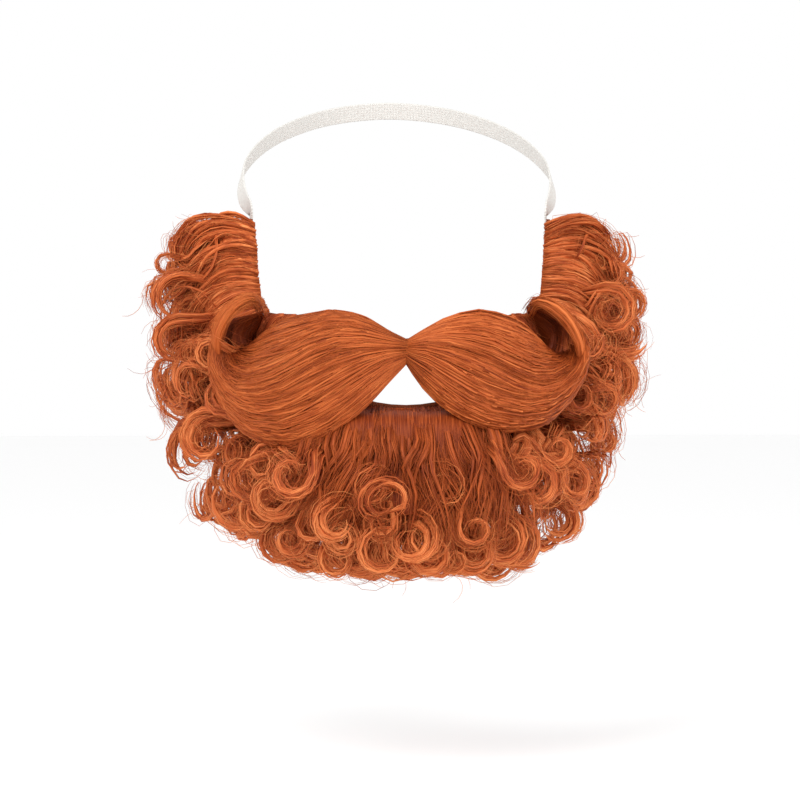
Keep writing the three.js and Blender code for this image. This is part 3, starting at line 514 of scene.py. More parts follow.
def curl_paths(root, outward, centre, heading, tilt, radius, turns, spin, stations=18, lead=5):
    """Each curl leaves its root along the outward way, joins its circle tangentially by a cubic
    Bezier, and winds round it: centre + reach (cos a across + sin a upright) + drift along its axis,
    with reach falling and drift growing in step with the angle turned."""
    zero = np.zeros_like(heading)
    across = np.stack([np.cos(heading), np.sin(heading), zero], -1)
    facing = np.stack([np.sin(heading), -np.cos(heading), zero], -1)
    vertical = np.stack([zero, zero, zero + 1], -1)
    ct, st = np.cos(tilt)[:, None], np.sin(tilt)[:, None]
    upright = vertical * ct + facing * st
    axis = facing * ct - vertical * st
    arm = root - centre
    along_across, along_upright = (arm * across).sum(-1), (arm * upright).sum(-1)
    bearing = np.arctan2(along_upright, along_across)
    distance = np.hypot(along_upright, along_across)
    start_angle = bearing + spin * np.arccos(np.minimum(1, radius / distance))
    turned = turns[:, None] * np.linspace(0, 1, stations - lead + 1)
    angle = start_angle[:, None] + spin[:, None] * 2 * np.pi * turned
    reach = radius[:, None] * (1 - 0.45 * turned)
    curl = (
        centre[:, None] + across[:, None] * (np.cos(angle) * reach)[..., None]
        + upright[:, None] * (np.sin(angle) * reach)[..., None]
        + axis[:, None] * (radius[:, None] * 0.5 * turned)[..., None]
    )
    start = curl[:, 0]
    heads = spin[:, None] * (
        upright * np.cos(start_angle)[:, None] - across * np.sin(start_angle)[:, None]
    )
    run = np.linalg.norm(start - root, axis=-1)[:, None]
    b1, b2 = root + outward * run * 0.4, start - heads * run * 0.4
    t = np.linspace(0, 1, lead + 1)[:-1][None, :, None]
    path = (
        (1 - t) ** 3 * root[:, None] + 3 * (1 - t) ** 2 * t * b1[:, None]
        + 3 * (1 - t) * t**2 * b2[:, None] + t**3 * start[:, None]
    )
    return np.concatenate([path, curl], 1), axis, lead


def placed_curls(rows, keep):
    """The curls of a table that show from the front, where the table puts them."""
    index = np.arange(len(rows))[keep]
    r = rows[keep]
    point, normal = skin_at(r[:, 0], height_at(r[:, 1]))
    centre = np.stack([
        r[:, 2] * beard_half_width,
        r[:, 4] * np.where(r[:, 4] > 0, ear_depth, beard_front),
        height_at(r[:, 3], beard_drop),
    ], -1)
    return dict(
        root=point + normal * root_depth, outward=normal, centre=centre,
        heading=(scatter(index + 50) - 0.5) * 0.6, tilt=(scatter(index) - 0.5) * 0.5,
        radius=r[:, 5] * curl_radius, turns=r[:, 6], spin=r[:, 7], half_width=r[:, 8] * lock_half_width,
    )


def filling_curls(rows, side, seed):
    """Curls spread along each row of the table on one side, each facing somewhere between the front
    and straight outwards."""
    parts = []
    for number, (count, start, end, level, stand, drop, size, turns, wide) in enumerate(rows):
        i = np.arange(count)
        n = seed + number * 20 + i
        place = start + (end - start) * i / max(count - 1, 1)
        point, normal = skin_at(side * place, height_at(level + (scatter(n) - 0.5) * 0.16))
        centre = point + normal * (stand * hair_stand * (0.85 + 0.3 * scatter(n + 11)))[:, None]
        centre[:, 2] -= drop * curl_radius
        parts.append(dict(
            root=point + normal * root_depth, outward=normal, centre=centre,
            heading=side * place * np.pi / 2 * (0.3 + 0.75 * scatter(n + 3)),
            tilt=(scatter(n + 5) - 0.5) * 0.7,
            radius=size * curl_radius * (0.85 + 0.3 * scatter(n + 7)),
            turns=np.full(count, float(turns)), spin=np.where(scatter(n + 13) > 0.5, 1.0, -1.0),
            half_width=np.full(count, wide * lock_half_width),
        ))
    return {key: np.concatenate([part[key] for part in parts]) for key in parts[0]}


def tones(rng, count, middle=0.43, spread=0.1):
    return rng.normal(middle, spread, count)


def painted_root_shade(tone, stations, depth=0.16):
    """A strand's tone along it: painted shade at its root, darker by depth, and painted light at its tip, lighter by
    0.04.
    """
    t = np.linspace(0, 1, stations)[None]
    return tone[:, None] - depth * (1 - smooth(t / 0.45)) + 0.04 * t


def family(curls, rng, members, spread):
    """Members of each curl's own formula, whose roots, middles, radii and turns differ by about
    spread times the lock's half width."""
    each = {key: np.repeat(value, members, 0) for key, value in curls.items()}
    half = each.pop("half_width")
    count = len(half)
    side, away = rng.uniform(-1, 1, (2, count)) * spread
    facing = np.stack([np.sin(each["heading"]), -np.cos(each["heading"]), 0 * half], -1)
    each["root"] = each["root"] + rng.normal(0, 0.45, (count, 3)) * half[:, None]
    each["centre"] = (
        each["centre"] + facing * (away * half * lock_flatness)[:, None]
        + rng.normal(0, 0.16, (count, 3)) * (half * spread)[:, None]
    )
    each["radius"] = np.maximum(each["radius"] + 0.85 * side * half, 0.28 * each["radius"])
    each["turns"] = each["turns"] * rng.uniform(0.72, 1.15, count) * np.where(side < 0, 1.1, 1.0)
    each["heading"] = each["heading"] + rng.normal(0, 0.08, count) * spread
    each["tilt"] = each["tilt"] + rng.normal(0, 0.08, count) * spread
    return each, half


def curls_into(bundle, curls, rng, bands=4, clumps=4, fibres=16):
    """Each lock is a family of wide flat bands with a wider family of narrow clumps, and of fine
    strands, about it."""
    low = -curls["centre"][:, 2]
    # Each curl's tone shift: a random part, painted light that lightens the lowest curls against the shade from the
    # light above, and painted shade that darkens the curls at the chin under the moustache.
    shade = rng.uniform(-0.09, 0.09, len(low)) + 0.06 * smooth((low - 62) / 25)
    shade -= 0.22 * smooth(2 - np.abs(curls["root"][:, 0]) / 20) * smooth((80 - low) / 20)
    for members, spread, narrow, broad, sides in ((bands, 0.75, 0.2, 0.42, 5), (clumps, 1.1, 0.08, 0.18, 3)):
        each, half = family(curls, rng, members, spread)
        paths, axis, lead = curl_paths(**each, stations=11, lead=3)
        paths = clear_of_skin(paths)
        tone = painted_root_shade(tones(rng, len(half), spread=0.07) + np.repeat(shade, members), paths.shape[1])
        bundle.add_clumps(paths, axis, lead, half * rng.uniform(narrow, broad, len(half)), tone, sides)
    each, half = family(curls, rng, fibres, 1.6)
    paths, axis, lead = curl_paths(**each, stations=11, lead=3)
    paths = clear_of_skin(paths)
    tone = tones(rng, len(half), 0.5, 0.13) + np.repeat(shade, fibres)
    bundle.add_fibres(paths, axis, lead, rng, painted_root_shade(tone, paths.shape[1]))


def wave_paths(root, outward, reach, fall, radius, turns, phase, spin, late, stations):
    """Hanging curls: a quadratic Bezier leaves the root along the outward way and bends into the
    fall. Round it the hair winds on an ellipse that grows from nothing between the shares late and
    late + 0.45 of the way."""
    t = np.linspace(0, 1, stations)[None, :, None]
    shoulder = root + outward * reach[:, None]
    middle = (1 - t) ** 2 * root[:, None] + 2 * (1 - t) * t * shoulder[:, None] + t**2 * (shoulder + fall)[:, None]
    sideways = unit(np.cross(fall, outward))
    forwards = unit(np.cross(sideways, fall))
    t = t[..., 0]
    size = radius[:, None] * smooth((t - late[:, None]) / 0.45)
    angle = phase[:, None] + spin[:, None] * 2 * np.pi * turns[:, None] * t
    return (
        middle + sideways[:, None] * (np.cos(angle) * size)[..., None]
        + forwards[:, None] * (np.sin(angle) * size * 0.7)[..., None]
    ), forwards


def waves_into(bundle, waves, rng, bands=4, clumps=4, fibres=13, middle=0.43, spread_out=0.1):
    """Hanging locks as families of wide flat bands, narrow clumps and fine strands of the same
    formula."""
    shade = rng.uniform(-spread_out, spread_out, len(waves["turns"]))
    stations = 12
    kinds = ((bands, 0.6, 0.2, 0.42, 5), (clumps, 0.85, 0.08, 0.18, 3), (fibres, 1.2, 0, 0, 0))
    for members, spread, narrow, broad, sides in kinds:
        each = {key: np.repeat(value, members, 0) for key, value in waves.items()}
        half = each.pop("half_width")
        count = len(half)
        side, away = rng.uniform(-1, 1, (2, count, 1)) * spread
        across = unit(np.cross(each["fall"], each["outward"]))
        each["root"] = each["root"] + half[:, None] * (across * side + each["outward"] * away * 0.6)
        each["fall"] = each["fall"] * rng.uniform(0.86, 1.06, (count, 1))
        each["reach"] = each["reach"] + half * away[:, 0] * 0.5
        each["radius"] = np.maximum(each["radius"] + rng.normal(0, 0.25, count) * half * spread, 0.3)
        each["phase"] = each["phase"] + rng.normal(0, 0.14, count) * spread
        each["turns"] = each["turns"] * rng.normal(1, 0.05, count)
        paths, deep_way = wave_paths(**each, stations=stations)
        paths = clear_of_skin(paths)
        tone = tones(rng, count, middle + (0 if sides else 0.05), 0.6 * spread_out) + np.repeat(shade, members)
        if sides:
            wide = half * rng.uniform(narrow, broad, count)
            bundle.add_clumps(paths, deep_way, 0, wide, painted_root_shade(tone, stations), sides)
        else:
            bundle.add_fibres(paths, deep_way, 0, rng, painted_root_shade(tone, stations))


def combed_into(bundle, paths, deep_way, half_width, half_deep, rng, bands=2, clumps=4, fibres=8, middle=0.43, fade=0.0, rooted=0.05):
    """Combed locks: strands at points of each lock's flat section, which keep their place in it with
    slow waves and fan out a little towards the tips. rooted is how much darker they are at the root,
    and fade how much darker from a third of the way on: both are painted shade."""
    n, m = paths.shape[:2]
    t = np.linspace(0, 1, m)
    tangents, deep = carried_frames(paths, deep_way)
    wide = np.cross(deep, tangents)
    pick = np.arange(n)[:, None, None]
    shade = rng.uniform(-0.08, 0.08, n)
    # Painted shade: fade darkens the locks from a third of the way on.
    faded = fade * smooth(t * 3)
    kinds = ((bands, 0.5, 0.4, 0.7, 5), (clumps, 0.8, 0.1, 0.22, 3), (fibres, 1.2, 0, 0, 0))
    for members, spread, narrow, broad, sides in kinds:
        across = rng.uniform(-spread, spread, (n, members, 1))
        outwards = rng.uniform(-0.4, spread, (n, members, 1)) * np.sqrt(1 - 0.5 * across**2)
        phase = rng.uniform(0, 2 * np.pi, (n, members, 1))
        wave = 0.14 * np.sin(phase + 2 * np.pi * t * rng.uniform(0.8, 2.2, (n, members, 1)))
        station = t * rng.uniform(0.8, 1.0, (n, members, 1)) * (m - 1)
        i = np.minimum(station.astype(int), m - 2)
        f = (station - i)[..., None]

        def along(values):
            return values[pick, i] * (1 - f) + values[pick, i + 1] * f
        lines = (
            along(paths)
            + along(wide) * ((across * (0.35 + 0.9 * smooth(2.5 * t)) + wave * smooth(4 * t)) * half_width)[..., None]
            + along(deep) * ((outwards + wave) * half_deep)[..., None]
        ).reshape(n * members, m, 3)
        count = n * members
        facing = np.repeat(deep[:, 0], members, 0)
        if sides:
            tone = painted_root_shade(tones(rng, count, middle, 0.07) + np.repeat(shade, members), m, rooted) - faded
            bundle.add_clumps(lines, facing, 0, half_width * rng.uniform(narrow, broad, count), tone, sides)
        else:
            tone = painted_root_shade(tones(rng, count, middle + 0.05, 0.13) + np.repeat(shade, members), m, rooted) - faded
            bundle.add_fibres(lines, facing, 0, rng, tone)


def edge_place(height):
    """How far round the face the backing's front edge is, at heights on the sideburn and cheek."""
    place = np.linspace(0.66, 0.82, 60)
    return np.interp(height, outline_at(place, 1), place)


def swept_sideburn(side, count, rng):
    """Locks combed back from the face's edge: they start under the backing's front edge, turn round it
    and rise off the skin by a quarter sine on their way to the ear, swell up, and then sag by the square
    of the way along, more so the lower they start."""
    root = (np.arange(count) * 0.618 % 1)[:, None]
    t = np.linspace(0, 1, 10)
    start = 15.5 + 43 * root
    height = start + 7 * np.sin(np.pi * t) * root - (36 - 27 * root) * t**2 + rng.normal(0, 3, (count, 1)) * t
    edge = edge_place(start) - 0.014 + 0.012 * rng.uniform(0, 1, (count, 1))
    place = edge + (0.13 + 0.03 * rng.normal(size=(count, 1))) * t**1.6
    depth = 1.6 + rng.uniform(20, 36, (count, 1)) * np.sin(t * np.pi / 2)
    point, normal = skin_at(side * (place + 0 * height), height)
    return point + normal * depth[..., None], normal[:, 0]


def swept_cheek(side, count, rng, first, last, low, high):
    """Locks combed from the cheek's top edge outwards and down over the dense hair, rooted between
    the places first and last, and standing between low and high mm off it at their ends."""
    root = (np.arange(count) * 0.618 % 1)[:, None]
    t = np.linspace(0, 1, 10)
    place = first + (last - first) * root + (0.1 + 0.03 * rng.normal(size=(count, 1))) * t
    height = 13.2 + 0.5 * np.sin(np.pi * t) - (30 + 7 * rng.normal(size=(count, 1))) * t**1.6
    depth = 3 + rng.uniform(low, high, (count, 1)) * np.sin(t * np.pi / 2) + 0 * height
    point, normal = skin_at(side * place, height)
    return point + normal * depth[..., None], normal[:, 0]


def chin_waves(count, rng):
    """Straight hair from under the lip, which comes out, falls and ends in waves."""
    share = np.linspace(-0.5, 0.5, count)
    x = share * mouth_width * 1.2
    lip = -mouth_drop - mouth_height / 2 - 1.2 + 14 * share**2 - rng.uniform(0, 0.8, count)
    half = head_half_width * face_half_width(lip)
    place = np.sign(x) * 2 / np.pi * np.arcsin((np.abs(x) / half) ** (face_squareness / 2))
    root, outward = skin_at(place, lip)
    fall = np.stack([x * 0.35 + rng.normal(0, 3, count), rng.uniform(-7, 0, count), -rng.uniform(38, 60, count)], -1)
    return dict(
        root=root + outward * hair_start, outward=unit(outward + [0, 0, -0.4]), reach=rng.uniform(13, 23, count),
        fall=fall, radius=rng.uniform(5, 9, count), turns=rng.uniform(0.8, 1.3, count),
        phase=rng.uniform(0, 2 * np.pi, count), spin=np.where(rng.uniform(0, 1, count) < 0.5, 1.0, -1.0),
        late=rng.uniform(0.3, 0.45, count), half_width=rng.uniform(3.4, 5.4, count),
    )


def chin_body(bundle):
    """The straight hair under the lip as one closed sheet with an elliptical section, which comes
    out from under the lip by a quadratic Bezier and hangs, under the chin's separate strands."""
    t = np.linspace(0, 1, 20)[:, None]
    root, outward = skin_at(0.0, -mouth_drop - mouth_height / 2 - 2)
    root = root + outward * (hair_start + 0.4)
    shoulder = root + unit(outward + [0, 0, -0.6]) * 12
    path = (1 - t) ** 2 * root + 2 * (1 - t) * t * shoulder + t**2 * (shoulder + [0, -2, -42])
    # Tone 0.12: a dark sheet, painted shade under the lip and under the chin's strands.
    tone = np.array([0.12])
    wide = mouth_width * (0.5 + 0.12 * t.T) * (1 - 0.5 * smooth((t.T - 0.7) / 0.3))
    bundle.add_tubes(path[None], np.array([[0.0, -1.0, 0.0]]), 0, wide, 0.5 + 5 * smooth(t.T / 0.4), 90, tone)


def hanging_waves(rows, side, rng):
    """Locks spread along each row of the table on one side, which come outwards and hang in waves."""
    parts = []
    for count, start, end, level, reach, fall, radius, turns, wide in rows:
        place = rng.uniform(start, end, count)
        height = height_at(level + rng.uniform(-0.07, 0.07, count))
        point, normal = skin_at(side * place, height)
        down = np.stack([normal[:, 0] * 0.35, normal[:, 1] * 0.35, -1 + 0 * place], -1) + rng.normal(0, 0.16, (count, 3))
        parts.append(dict(
            root=point + normal * root_depth, outward=normal, reach=reach * hair_stand * rng.uniform(0.85, 1.1, count),
            fall=unit(down) * (fall * hair_stand * rng.uniform(0.8, 1.15, count))[:, None],
            radius=radius * curl_radius * rng.uniform(0.7, 1.2, count), turns=turns * rng.uniform(0.8, 1.2, count),
            phase=rng.uniform(0, 2 * np.pi, count), spin=np.where(rng.uniform(0, 1, count) < 0.5, 1.0, -1.0),
            late=np.full(count, 0.05), half_width=np.full(count, wide * lock_half_width),
        ))
    return {key: np.concatenate([part[key] for part in parts]) for key in parts[0]}


def bed_waves(rows, side, count, rng):
    """Wavy locks that lie on the dense hair: they run down its surface with a sine sideways and one
    up and down through it, and their tips sink into it by the fourth power of the way along."""
    t = np.linspace(0, 1, 10)[None]
    u0, v0 = rng.uniform(0.3, 0.97, (count, 1)), rng.uniform(0.2, 0.85, (count, 1))
    phase = rng.uniform(0, 2 * np.pi, (count, 1))
    u = u0 + 0.04 * np.sin(phase + 5.5 * t) + 0.06 * (t - 0.5) * np.sin(3 * phase)
    v = v0 - 0.38 * t + 0.03 * np.sin(2 * phase + 7 * t)
    surface = bed_surface(rows, side, np.clip(u, 0, 1), np.clip(v, 0.03, 1), 0.92)
    inside = bed_surface(rows, side, np.clip(u, 0, 1), np.clip(v, 0.03, 1), 0.5)
    out = unit(surface - inside)
    return clear_of_skin(surface + out * (1 + 3.2 * np.sin(phase * 2 + 6.5 * t) - 8 * t**4)[..., None]), out[:, 0]


def frizz(bundle, sources, count, rng):
    """Single fibres that leave the curls' strands near their ends: arcs of circles that start along
    the strand and bend away from it."""
    ends = np.concatenate(sources)[rng.integers(0, sum(len(part) for part in sources), count)]
    late = rng.uniform(0, 1, count) < 0.5
    start, along = np.where(late[:, None], ends[:, 2], ends[:, 0]), np.where(late[:, None], ends[:, 3], ends[:, 1])
    way = unit(along + rng.normal(0, 0.35, (count, 3)))
    bend = unit(np.cross(way, rng.normal(0, 1, (count, 3))))
    radius = rng.uniform(3, 9, count)[:, None, None]
    angle = np.linspace(0, 1, 7)[None, :, None] * rng.uniform(0.8, 2.8, count)[:, None, None]
    paths = start[:, None] + radius * (np.sin(angle) * way[:, None] + (1 - np.cos(angle)) * bend[:, None])
    bundle.add_fibres(clear_of_skin(paths), np.cross(way, bend), 0, rng, tones(rng, count, 0.65))


def bed_surface(rows, side, u, v, share):
    """The dense hair's outer surface: off the skin by the bed's depth, which is largest halfway up
    and thin at the edges, pressed flat behind the moustache, and hanging straight down below the
    backing's edge."""
    at = [table_curve(rows[:, 0], rows[:, c]) for c in range(1, 5)]
    place = rows[0, 0] + (rows[-1, 0] - rows[0, 0]) * u
    top, bottom, hang, depth = (curve(place) for curve in at)
    edge = height_at(bottom) + bed_margin
    low = edge - hang * hair_bed
    height = low + (height_at(top) - low) * v
    swell = np.sqrt(np.sin(np.pi * (0.2 + 0.74 * v)))
    pressed = 0.8 * smooth((height + 48) / 16) * smooth((28 - height) / 10) * smooth((0.86 - place) / 0.08)
    reach = hair_start + share * hair_bed * depth * swell * (1 - pressed)
    point = off_skin(side * place, np.maximum(height, edge), reach)
    point[..., 2] = height
    return point


def bed_mesh(name, rows, side, material, share):
    """A closed shell of the dense hair, from the backing to its outer surface, with shallow ridges."""
    columns, heights = 40, 26
    u, v = np.meshgrid(np.linspace(0, 1, columns + 1), np.linspace(0, 1, heights + 1), indexing="ij")
    inner = bed_surface(rows, side, u, v, 0.0)
    outer = bed_surface(rows, side, u, v, share)
    ridges = 0.9 * np.sin(u * 140 + 3 * np.sin(v * 9)) + 0.9 * np.sin(u * 61 + v * 23)
    inside = smooth(u / 0.05) * smooth((1 - u) / 0.05) * smooth(v / 0.05) * smooth((1 - v) / 0.05)
    outer = outer + unit(outer - inner + 1e-6) * (ridges * inside)[..., None]
    points = np.concatenate([inner.reshape(-1, 3), outer.reshape(-1, 3)])
    index = np.arange((columns + 1) * (heights + 1)).reshape(columns + 1, heights + 1)
    top = index + index.size
    a, b, c, d = index[:-1, :-1], index[1:, :-1], index[1:, 1:], index[:-1, 1:]
    quads = [
        np.stack([d, c, b, a], -1), np.stack([a, b, c, d], -1) + index.size,
        np.stack([index[:-1, 0], index[1:, 0], top[1:, 0], top[:-1, 0]], -1),
        np.stack([top[:-1, -1], top[1:, -1], index[1:, -1], index[:-1, -1]], -1),
        np.stack([index[0, 1:], index[0, :-1], top[0, :-1], top[0, 1:]], -1),
        np.stack([top[-1, 1:], top[-1, :-1], index[-1, :-1], index[-1, 1:]], -1),
    ]
    quads = np.concatenate([q.reshape(-1, 4) for q in quads])
    if side < 0:
        quads = quads[:, ::-1]
    # Tone 0.35 in the darker undercoat material: painted shade under the strands.
    return new_mesh(name, points, quads, np.empty((0, 3), int), {
        "tone": np.full(2 * u.size, 0.35), "across": np.tile(110 * u.ravel(), 2),
        "along": np.tile(60 * v.ravel(), 2),
    }, [material])


def wing_lines(rows, side, share, t):
    """Lines of the moustache's wing from the parting to the roll. share (n, m), from 0 for the high
    stream to 1 for the low one, and t (n, m), from 0 to 1 along it, give points by smooth curves
    across the table's four streams and then along its rows."""
    pairs = rows[:, :8].reshape(-1, 4, 2)
    keys = np.array([0, 1 / 3, 2 / 3, 1])
    line = np.empty((len(rows), *share.shape, 3))
    for r in range(len(rows)):
        x = table_curve(keys, pairs[r, :, 0])(share) * moustache_half_width
        z = table_curve(keys, pairs[r, :, 1])(share) * moustache_height
        backwards = rows[r, 8] + rows[r, 9] * (1 - share) ** 2
        y = moustache_sweep * (x / moustache_half_width) ** 2 - moustache_stand + backwards * moustache_thickness
        line[r] = np.stack([side * x, y, z], -1)
    step = np.clip(t, 0, 1) * (len(rows) - 1)
    i = np.clip(step.astype(int), 0, len(rows) - 2)
    f = (step - i)[..., None]
    a, b = np.indices(share.shape)
    p0, p1, p2, p3 = (line[np.clip(i + k, 0, len(rows) - 1), a, b] for k in (-1, 0, 1, 2))
    return 0.5 * (
        2 * p1 + (p2 - p0) * f + (2 * p0 - 5 * p1 + 4 * p2 - p3) * f**2 + (3 * p1 - p0 - 3 * p2 + p3) * f**3
    )


def wing_points(rows, side, share, layer, t):
    """Points of the moustache's wing: on the stream at share, moved across the wing's thickness by
    layer, from -1 at its front to 1 at its back. The thickness is that of an ellipse across the
    streams, half as much at the parting and next to nothing at the roll's end. Both wings cross the middle
    a little at the parting."""
    lines = wing_lines(rows, side, share, t)
    lines[..., 0] -= side * parting_overlap * (1 - smooth(t / 0.12))
    tangents, deep = carried_frames(lines, np.broadcast_to([0.0, 1.0, 0.0], (len(lines), 3)))
    swell = (0.5 + 0.5 * smooth(3 * t)) * (1 - 0.95 * smooth((t - 0.7) / 0.3))
    half = moustache_thickness / 2 * swell * np.sqrt(np.maximum(1 - (2 * share - 1) ** 2, 0.04))
    return lines + deep * (layer * half)[..., None]


def wing_tone_with_painted_shade(share, t):
    """The wing's tone: painted shade deep inside the roll, where the high stream dives, and at the tucked end."""
    return (
        0.5 - 0.62 * smooth((t - 0.62) / 0.18) * smooth((0.7 - share) / 0.5)
        - 0.6 * smooth((t - 0.79) / 0.12)
    )


def wing_body(bundle, rows, side, around=128, stations=44):
    """The wing as one closed body: lines along the streams, at shares 0.5 - 0.5 cos a across it and
    layers -sin a through it, joined round the ring, with shallow grooves that follow the hair. The
    ring's two halves are laddered together at both ends."""
    a = np.arange(around)[:, None] * 2 * np.pi / around
    t = np.repeat(np.linspace(0, 1, stations)[None], around, 0)
    share = 0.5 - 0.5 * np.cos(a) + 0 * t
    grooves = (
        0.05 * np.sin(2 * np.pi * 9 * share + 1.5 * np.sin(4 * t)) + 0.04 * np.sin(2 * np.pi * 21 * share + 3 * t)
        + 0.03 * np.sin(2 * np.pi * 37 * share - 2 * t)
    )
    points = wing_points(rows, side, share, -np.sin(a) * (0.9 + grooves * smooth(4 * t)), t)
    index = np.arange(around * stations).reshape(around, stations)
    after = np.roll(index, -1, 0)
    quads = [np.stack([index[:, :-1], after[:, :-1], after[:, 1:], index[:, 1:]], -1).reshape(-1, 4)]
    triangles = []
    k = np.arange(1, around // 2 - 1)
    for end, turned in ((0, 1), (stations - 1, -1)):
        line = index[:, end]
        quads.append(np.stack([line[k], line[around - k], line[around - k - 1], line[k + 1]], -1)[:, ::turned])
        middle = around // 2
        ends = np.array([[line[0], line[-1], line[1]], [line[middle], line[middle - 1], line[middle + 1]]])
        triangles.append(ends[:, ::turned])
    quads, triangles = np.concatenate(quads), np.concatenate(triangles)
    if side < 0:
        quads, triangles = quads[:, ::-1], triangles[:, ::-1]
    # Tone: painted shade deep in the roll, at its tucked end and in the hollow behind it, with stripes across the
    # streams.
    tone = wing_tone_with_painted_shade(share, t) + 0.06 * np.sin(2 * np.pi * 5.3 * share + 2 * t)
    tone -= 0.4 * painted_hollow_shade(points)
    bundle.add(points.reshape(-1, 3), quads, triangles, tone, share * moustache_height, run_along(points))


def rim_paths(rim, side, count, rng):
    """Locks that rise round the roll's outer side, go over its top and come down to the cheek. They
    are a smooth curve through the table's points, larger or smaller about their middle."""
    scale = [moustache_half_width, moustache_sweep, moustache_height]
    points = rim[:, [0, 2, 1]] * scale * [side, 1, 1]
    middle = points.mean(0)
    begin, end = rng.uniform(0, 0.06, count), rng.uniform(0.85, 1, count)
    size = rng.uniform(0.95, 1.04, count)
    lines = [smooth_curve(middle + (points - middle) * s, np.linspace(a, b, 10)) for a, b, s in zip(begin, end, size)]
    paths = np.array(lines)
    paths[..., 1] += rng.uniform(-2, 4, (count, 1))
    return paths, np.tile([0.0, -1.0, 0.0], (count, 1))


def wing_hair(name, rows, rim, side, material, seed):
    """The wing's body under clumps and fine strands of combed hair. They drift a little across it on
    their way, share slow waves with their neighbours, and end at different places in the roll."""
    rng = np.random.default_rng(seed)
    bundle = Bundle()
    wing_body(bundle, rows, side)
    paths, outward = rim_paths(rim, side, 14, rng)
    # The rim locks are lighter over the roll's top, middle 0.66, painted light, and darker at their roots, rooted 0.24,
    # painted shade.
    combed_into(bundle, paths, outward, 2.4, 1.2, rng, middle=0.66, rooted=0.24)
    for count, stations, fine in ((320, 12, False), (520, 12, True)):
        start = rng.uniform(0.01, 0.99, count)
        stray = rng.uniform(0, 1, count) < (0.18 if fine else 0.05)
        drift = rng.normal(0, 1, count) * np.where(stray, 0.11, 0.03)
        early = (rng.uniform(0, 1, count) < 0.2) & (start > 0.45)
        end = np.where(early, rng.uniform(0.45, 0.9, count), rng.uniform(0.86, 1, count))
        late = np.where(rng.uniform(0, 1, count) < 0.3, rng.uniform(0, 0.3, count), 0)
        t = late[:, None] + (end - late)[:, None] * np.linspace(0, 1, stations)[None]
        share = np.clip(start[:, None] + drift[:, None] * smooth(t * 1.2), 0.004, 0.996)
        front = np.where(rng.uniform(0, 1, count) < 0.86, -1, 1)
        layer = front * (rng.uniform(0.93, 1.04, count) + np.where(stray, rng.uniform(0, 0.1, count), 0))
        phase = scatter(np.floor(start * 30))[:, None]
        layer = layer[:, None] * (1 + 0.03 * np.sin(2 * np.pi * (t * 1.3 + phase)))
        sway = 0.006 * np.sin(2 * np.pi * (t * rng.uniform(0.8, 1.8, (count, 1)) + phase)) * smooth(t * 3)
        lines = wing_points(rows, side, np.clip(share + sway, 0.003, 0.997), layer, t)
        tone = wing_tone_with_painted_shade(share, t) + (0.05 if fine else 0.0) + 0.12 * rng.normal(size=(count, 1))
        facing = np.broadcast_to([0.0, 1.0, 0.0], (count, 3))
        if fine:
            bundle.add_fibres(lines, facing, 0, rng, tone)
        else:
            bundle.add_clumps(lines, facing, 0, rng.uniform(0.4, 0.9, count), tone)
    return bundle.mesh(name, material)


# The band

def band_stations():
    """The band's line, on its skin side, and its outward ways, from the left sideburn round to the
    right."""
    height = sideburn_rise - band_overlap * (1 - np.array([0, 0.5, 1, 1.35]))
    sewn, sewn_out = skin_at(band_round, height)
    sewn = sewn + sewn_out * (skin_ease - 2 * gap - band_thickness)
    across, back, rise, turn = BAND.T
    free = np.stack([across * head_half_width, back * band_back, sideburn_rise + rise * band_rise], -1)
    on_head = unit(np.stack([free[:, 0], free[:, 1] - ear_depth, rise * band_rise / 2], -1))
    free_out = unit(on_head + ([0, -1, 0] - on_head) * turn[:, None])
    mirror = [-1, 1, 1]
    points, outward = np.concatenate([sewn, free]), np.concatenate([sewn_out, free_out])
    return np.concatenate([points, points[-2::-1] * mirror]), np.concatenate([outward, outward[-2::-1] * mirror])


def ribbed_band(name, material):
    """The woven band. Its section is a flat slot shape, half thickness 0.5 (1 - |2v - 1|^12)^0.5 at v
    across it, with cosine ribs that run its whole length. Running stitches hold its ends."""
    stations, outward = band_stations()
    stretches = len(stations) - 1

    def frame_at(t):
        line = smooth_curve(stations, t)
        step = 1e-4
        along = unit(smooth_curve(stations, np.minimum(t + step, 1)) - smooth_curve(stations, np.maximum(t - step, 0)))
        facing = smooth_curve(outward, t)
        facing = unit(facing - (facing * along).sum(-1, keepdims=True) * along)
        return line, facing, np.cross(facing, along)

    line, facing, wide = frame_at(np.linspace(0, 1, 5 * stretches + 1))
    v = np.linspace(1, 0, 4 * band_ribs + 1)
    half = 0.5 * np.sqrt(1 - np.abs(2 * v - 1) ** 12) * (1 - rib_height * (1 + np.cos(2 * np.pi * band_ribs * v)))
    v = np.concatenate([v, v[-2:0:-1]])
    w = 0.5 + np.concatenate([half, -half[-2:0:-1]])
    across = (v - 0.5) * band_width
    rings = line[:, None] + wide[:, None] * across[:, None] + facing[:, None] * (w * band_thickness)[:, None]
    m, sides = rings.shape[:2]
    bundle = Bundle()
    quads, caps = joined_rings(1, m, sides)
    bundle.add(
        rings.reshape(-1, 3), quads, caps, np.full(m * sides, 0.5), np.tile(across, m),
        np.repeat(run_along(line[None])[0], sides),
    )
    s = np.linspace(0, 1, 6)
    start = np.array([0.012, 0.036, 0.06])
    for end in (0, 1):
        for side in (-1, 1):
            t = np.abs(end - (start[:, None] + 0.018 * s))
            line, facing, wide = (values.reshape(3, 6, 3) for values in frame_at(t.ravel()))
            thread = line + wide * side * band_width * 0.32 + facing * (0.3 - 0.5 * np.sin(np.pi * s))[None, :, None]
            size = np.full((3, 6), thread_radius)
            bundle.add_tubes(thread, facing[:, 0], 0, size, size, 6, np.full(3, 0.7))
    return bundle.mesh(name, material)


# Materials

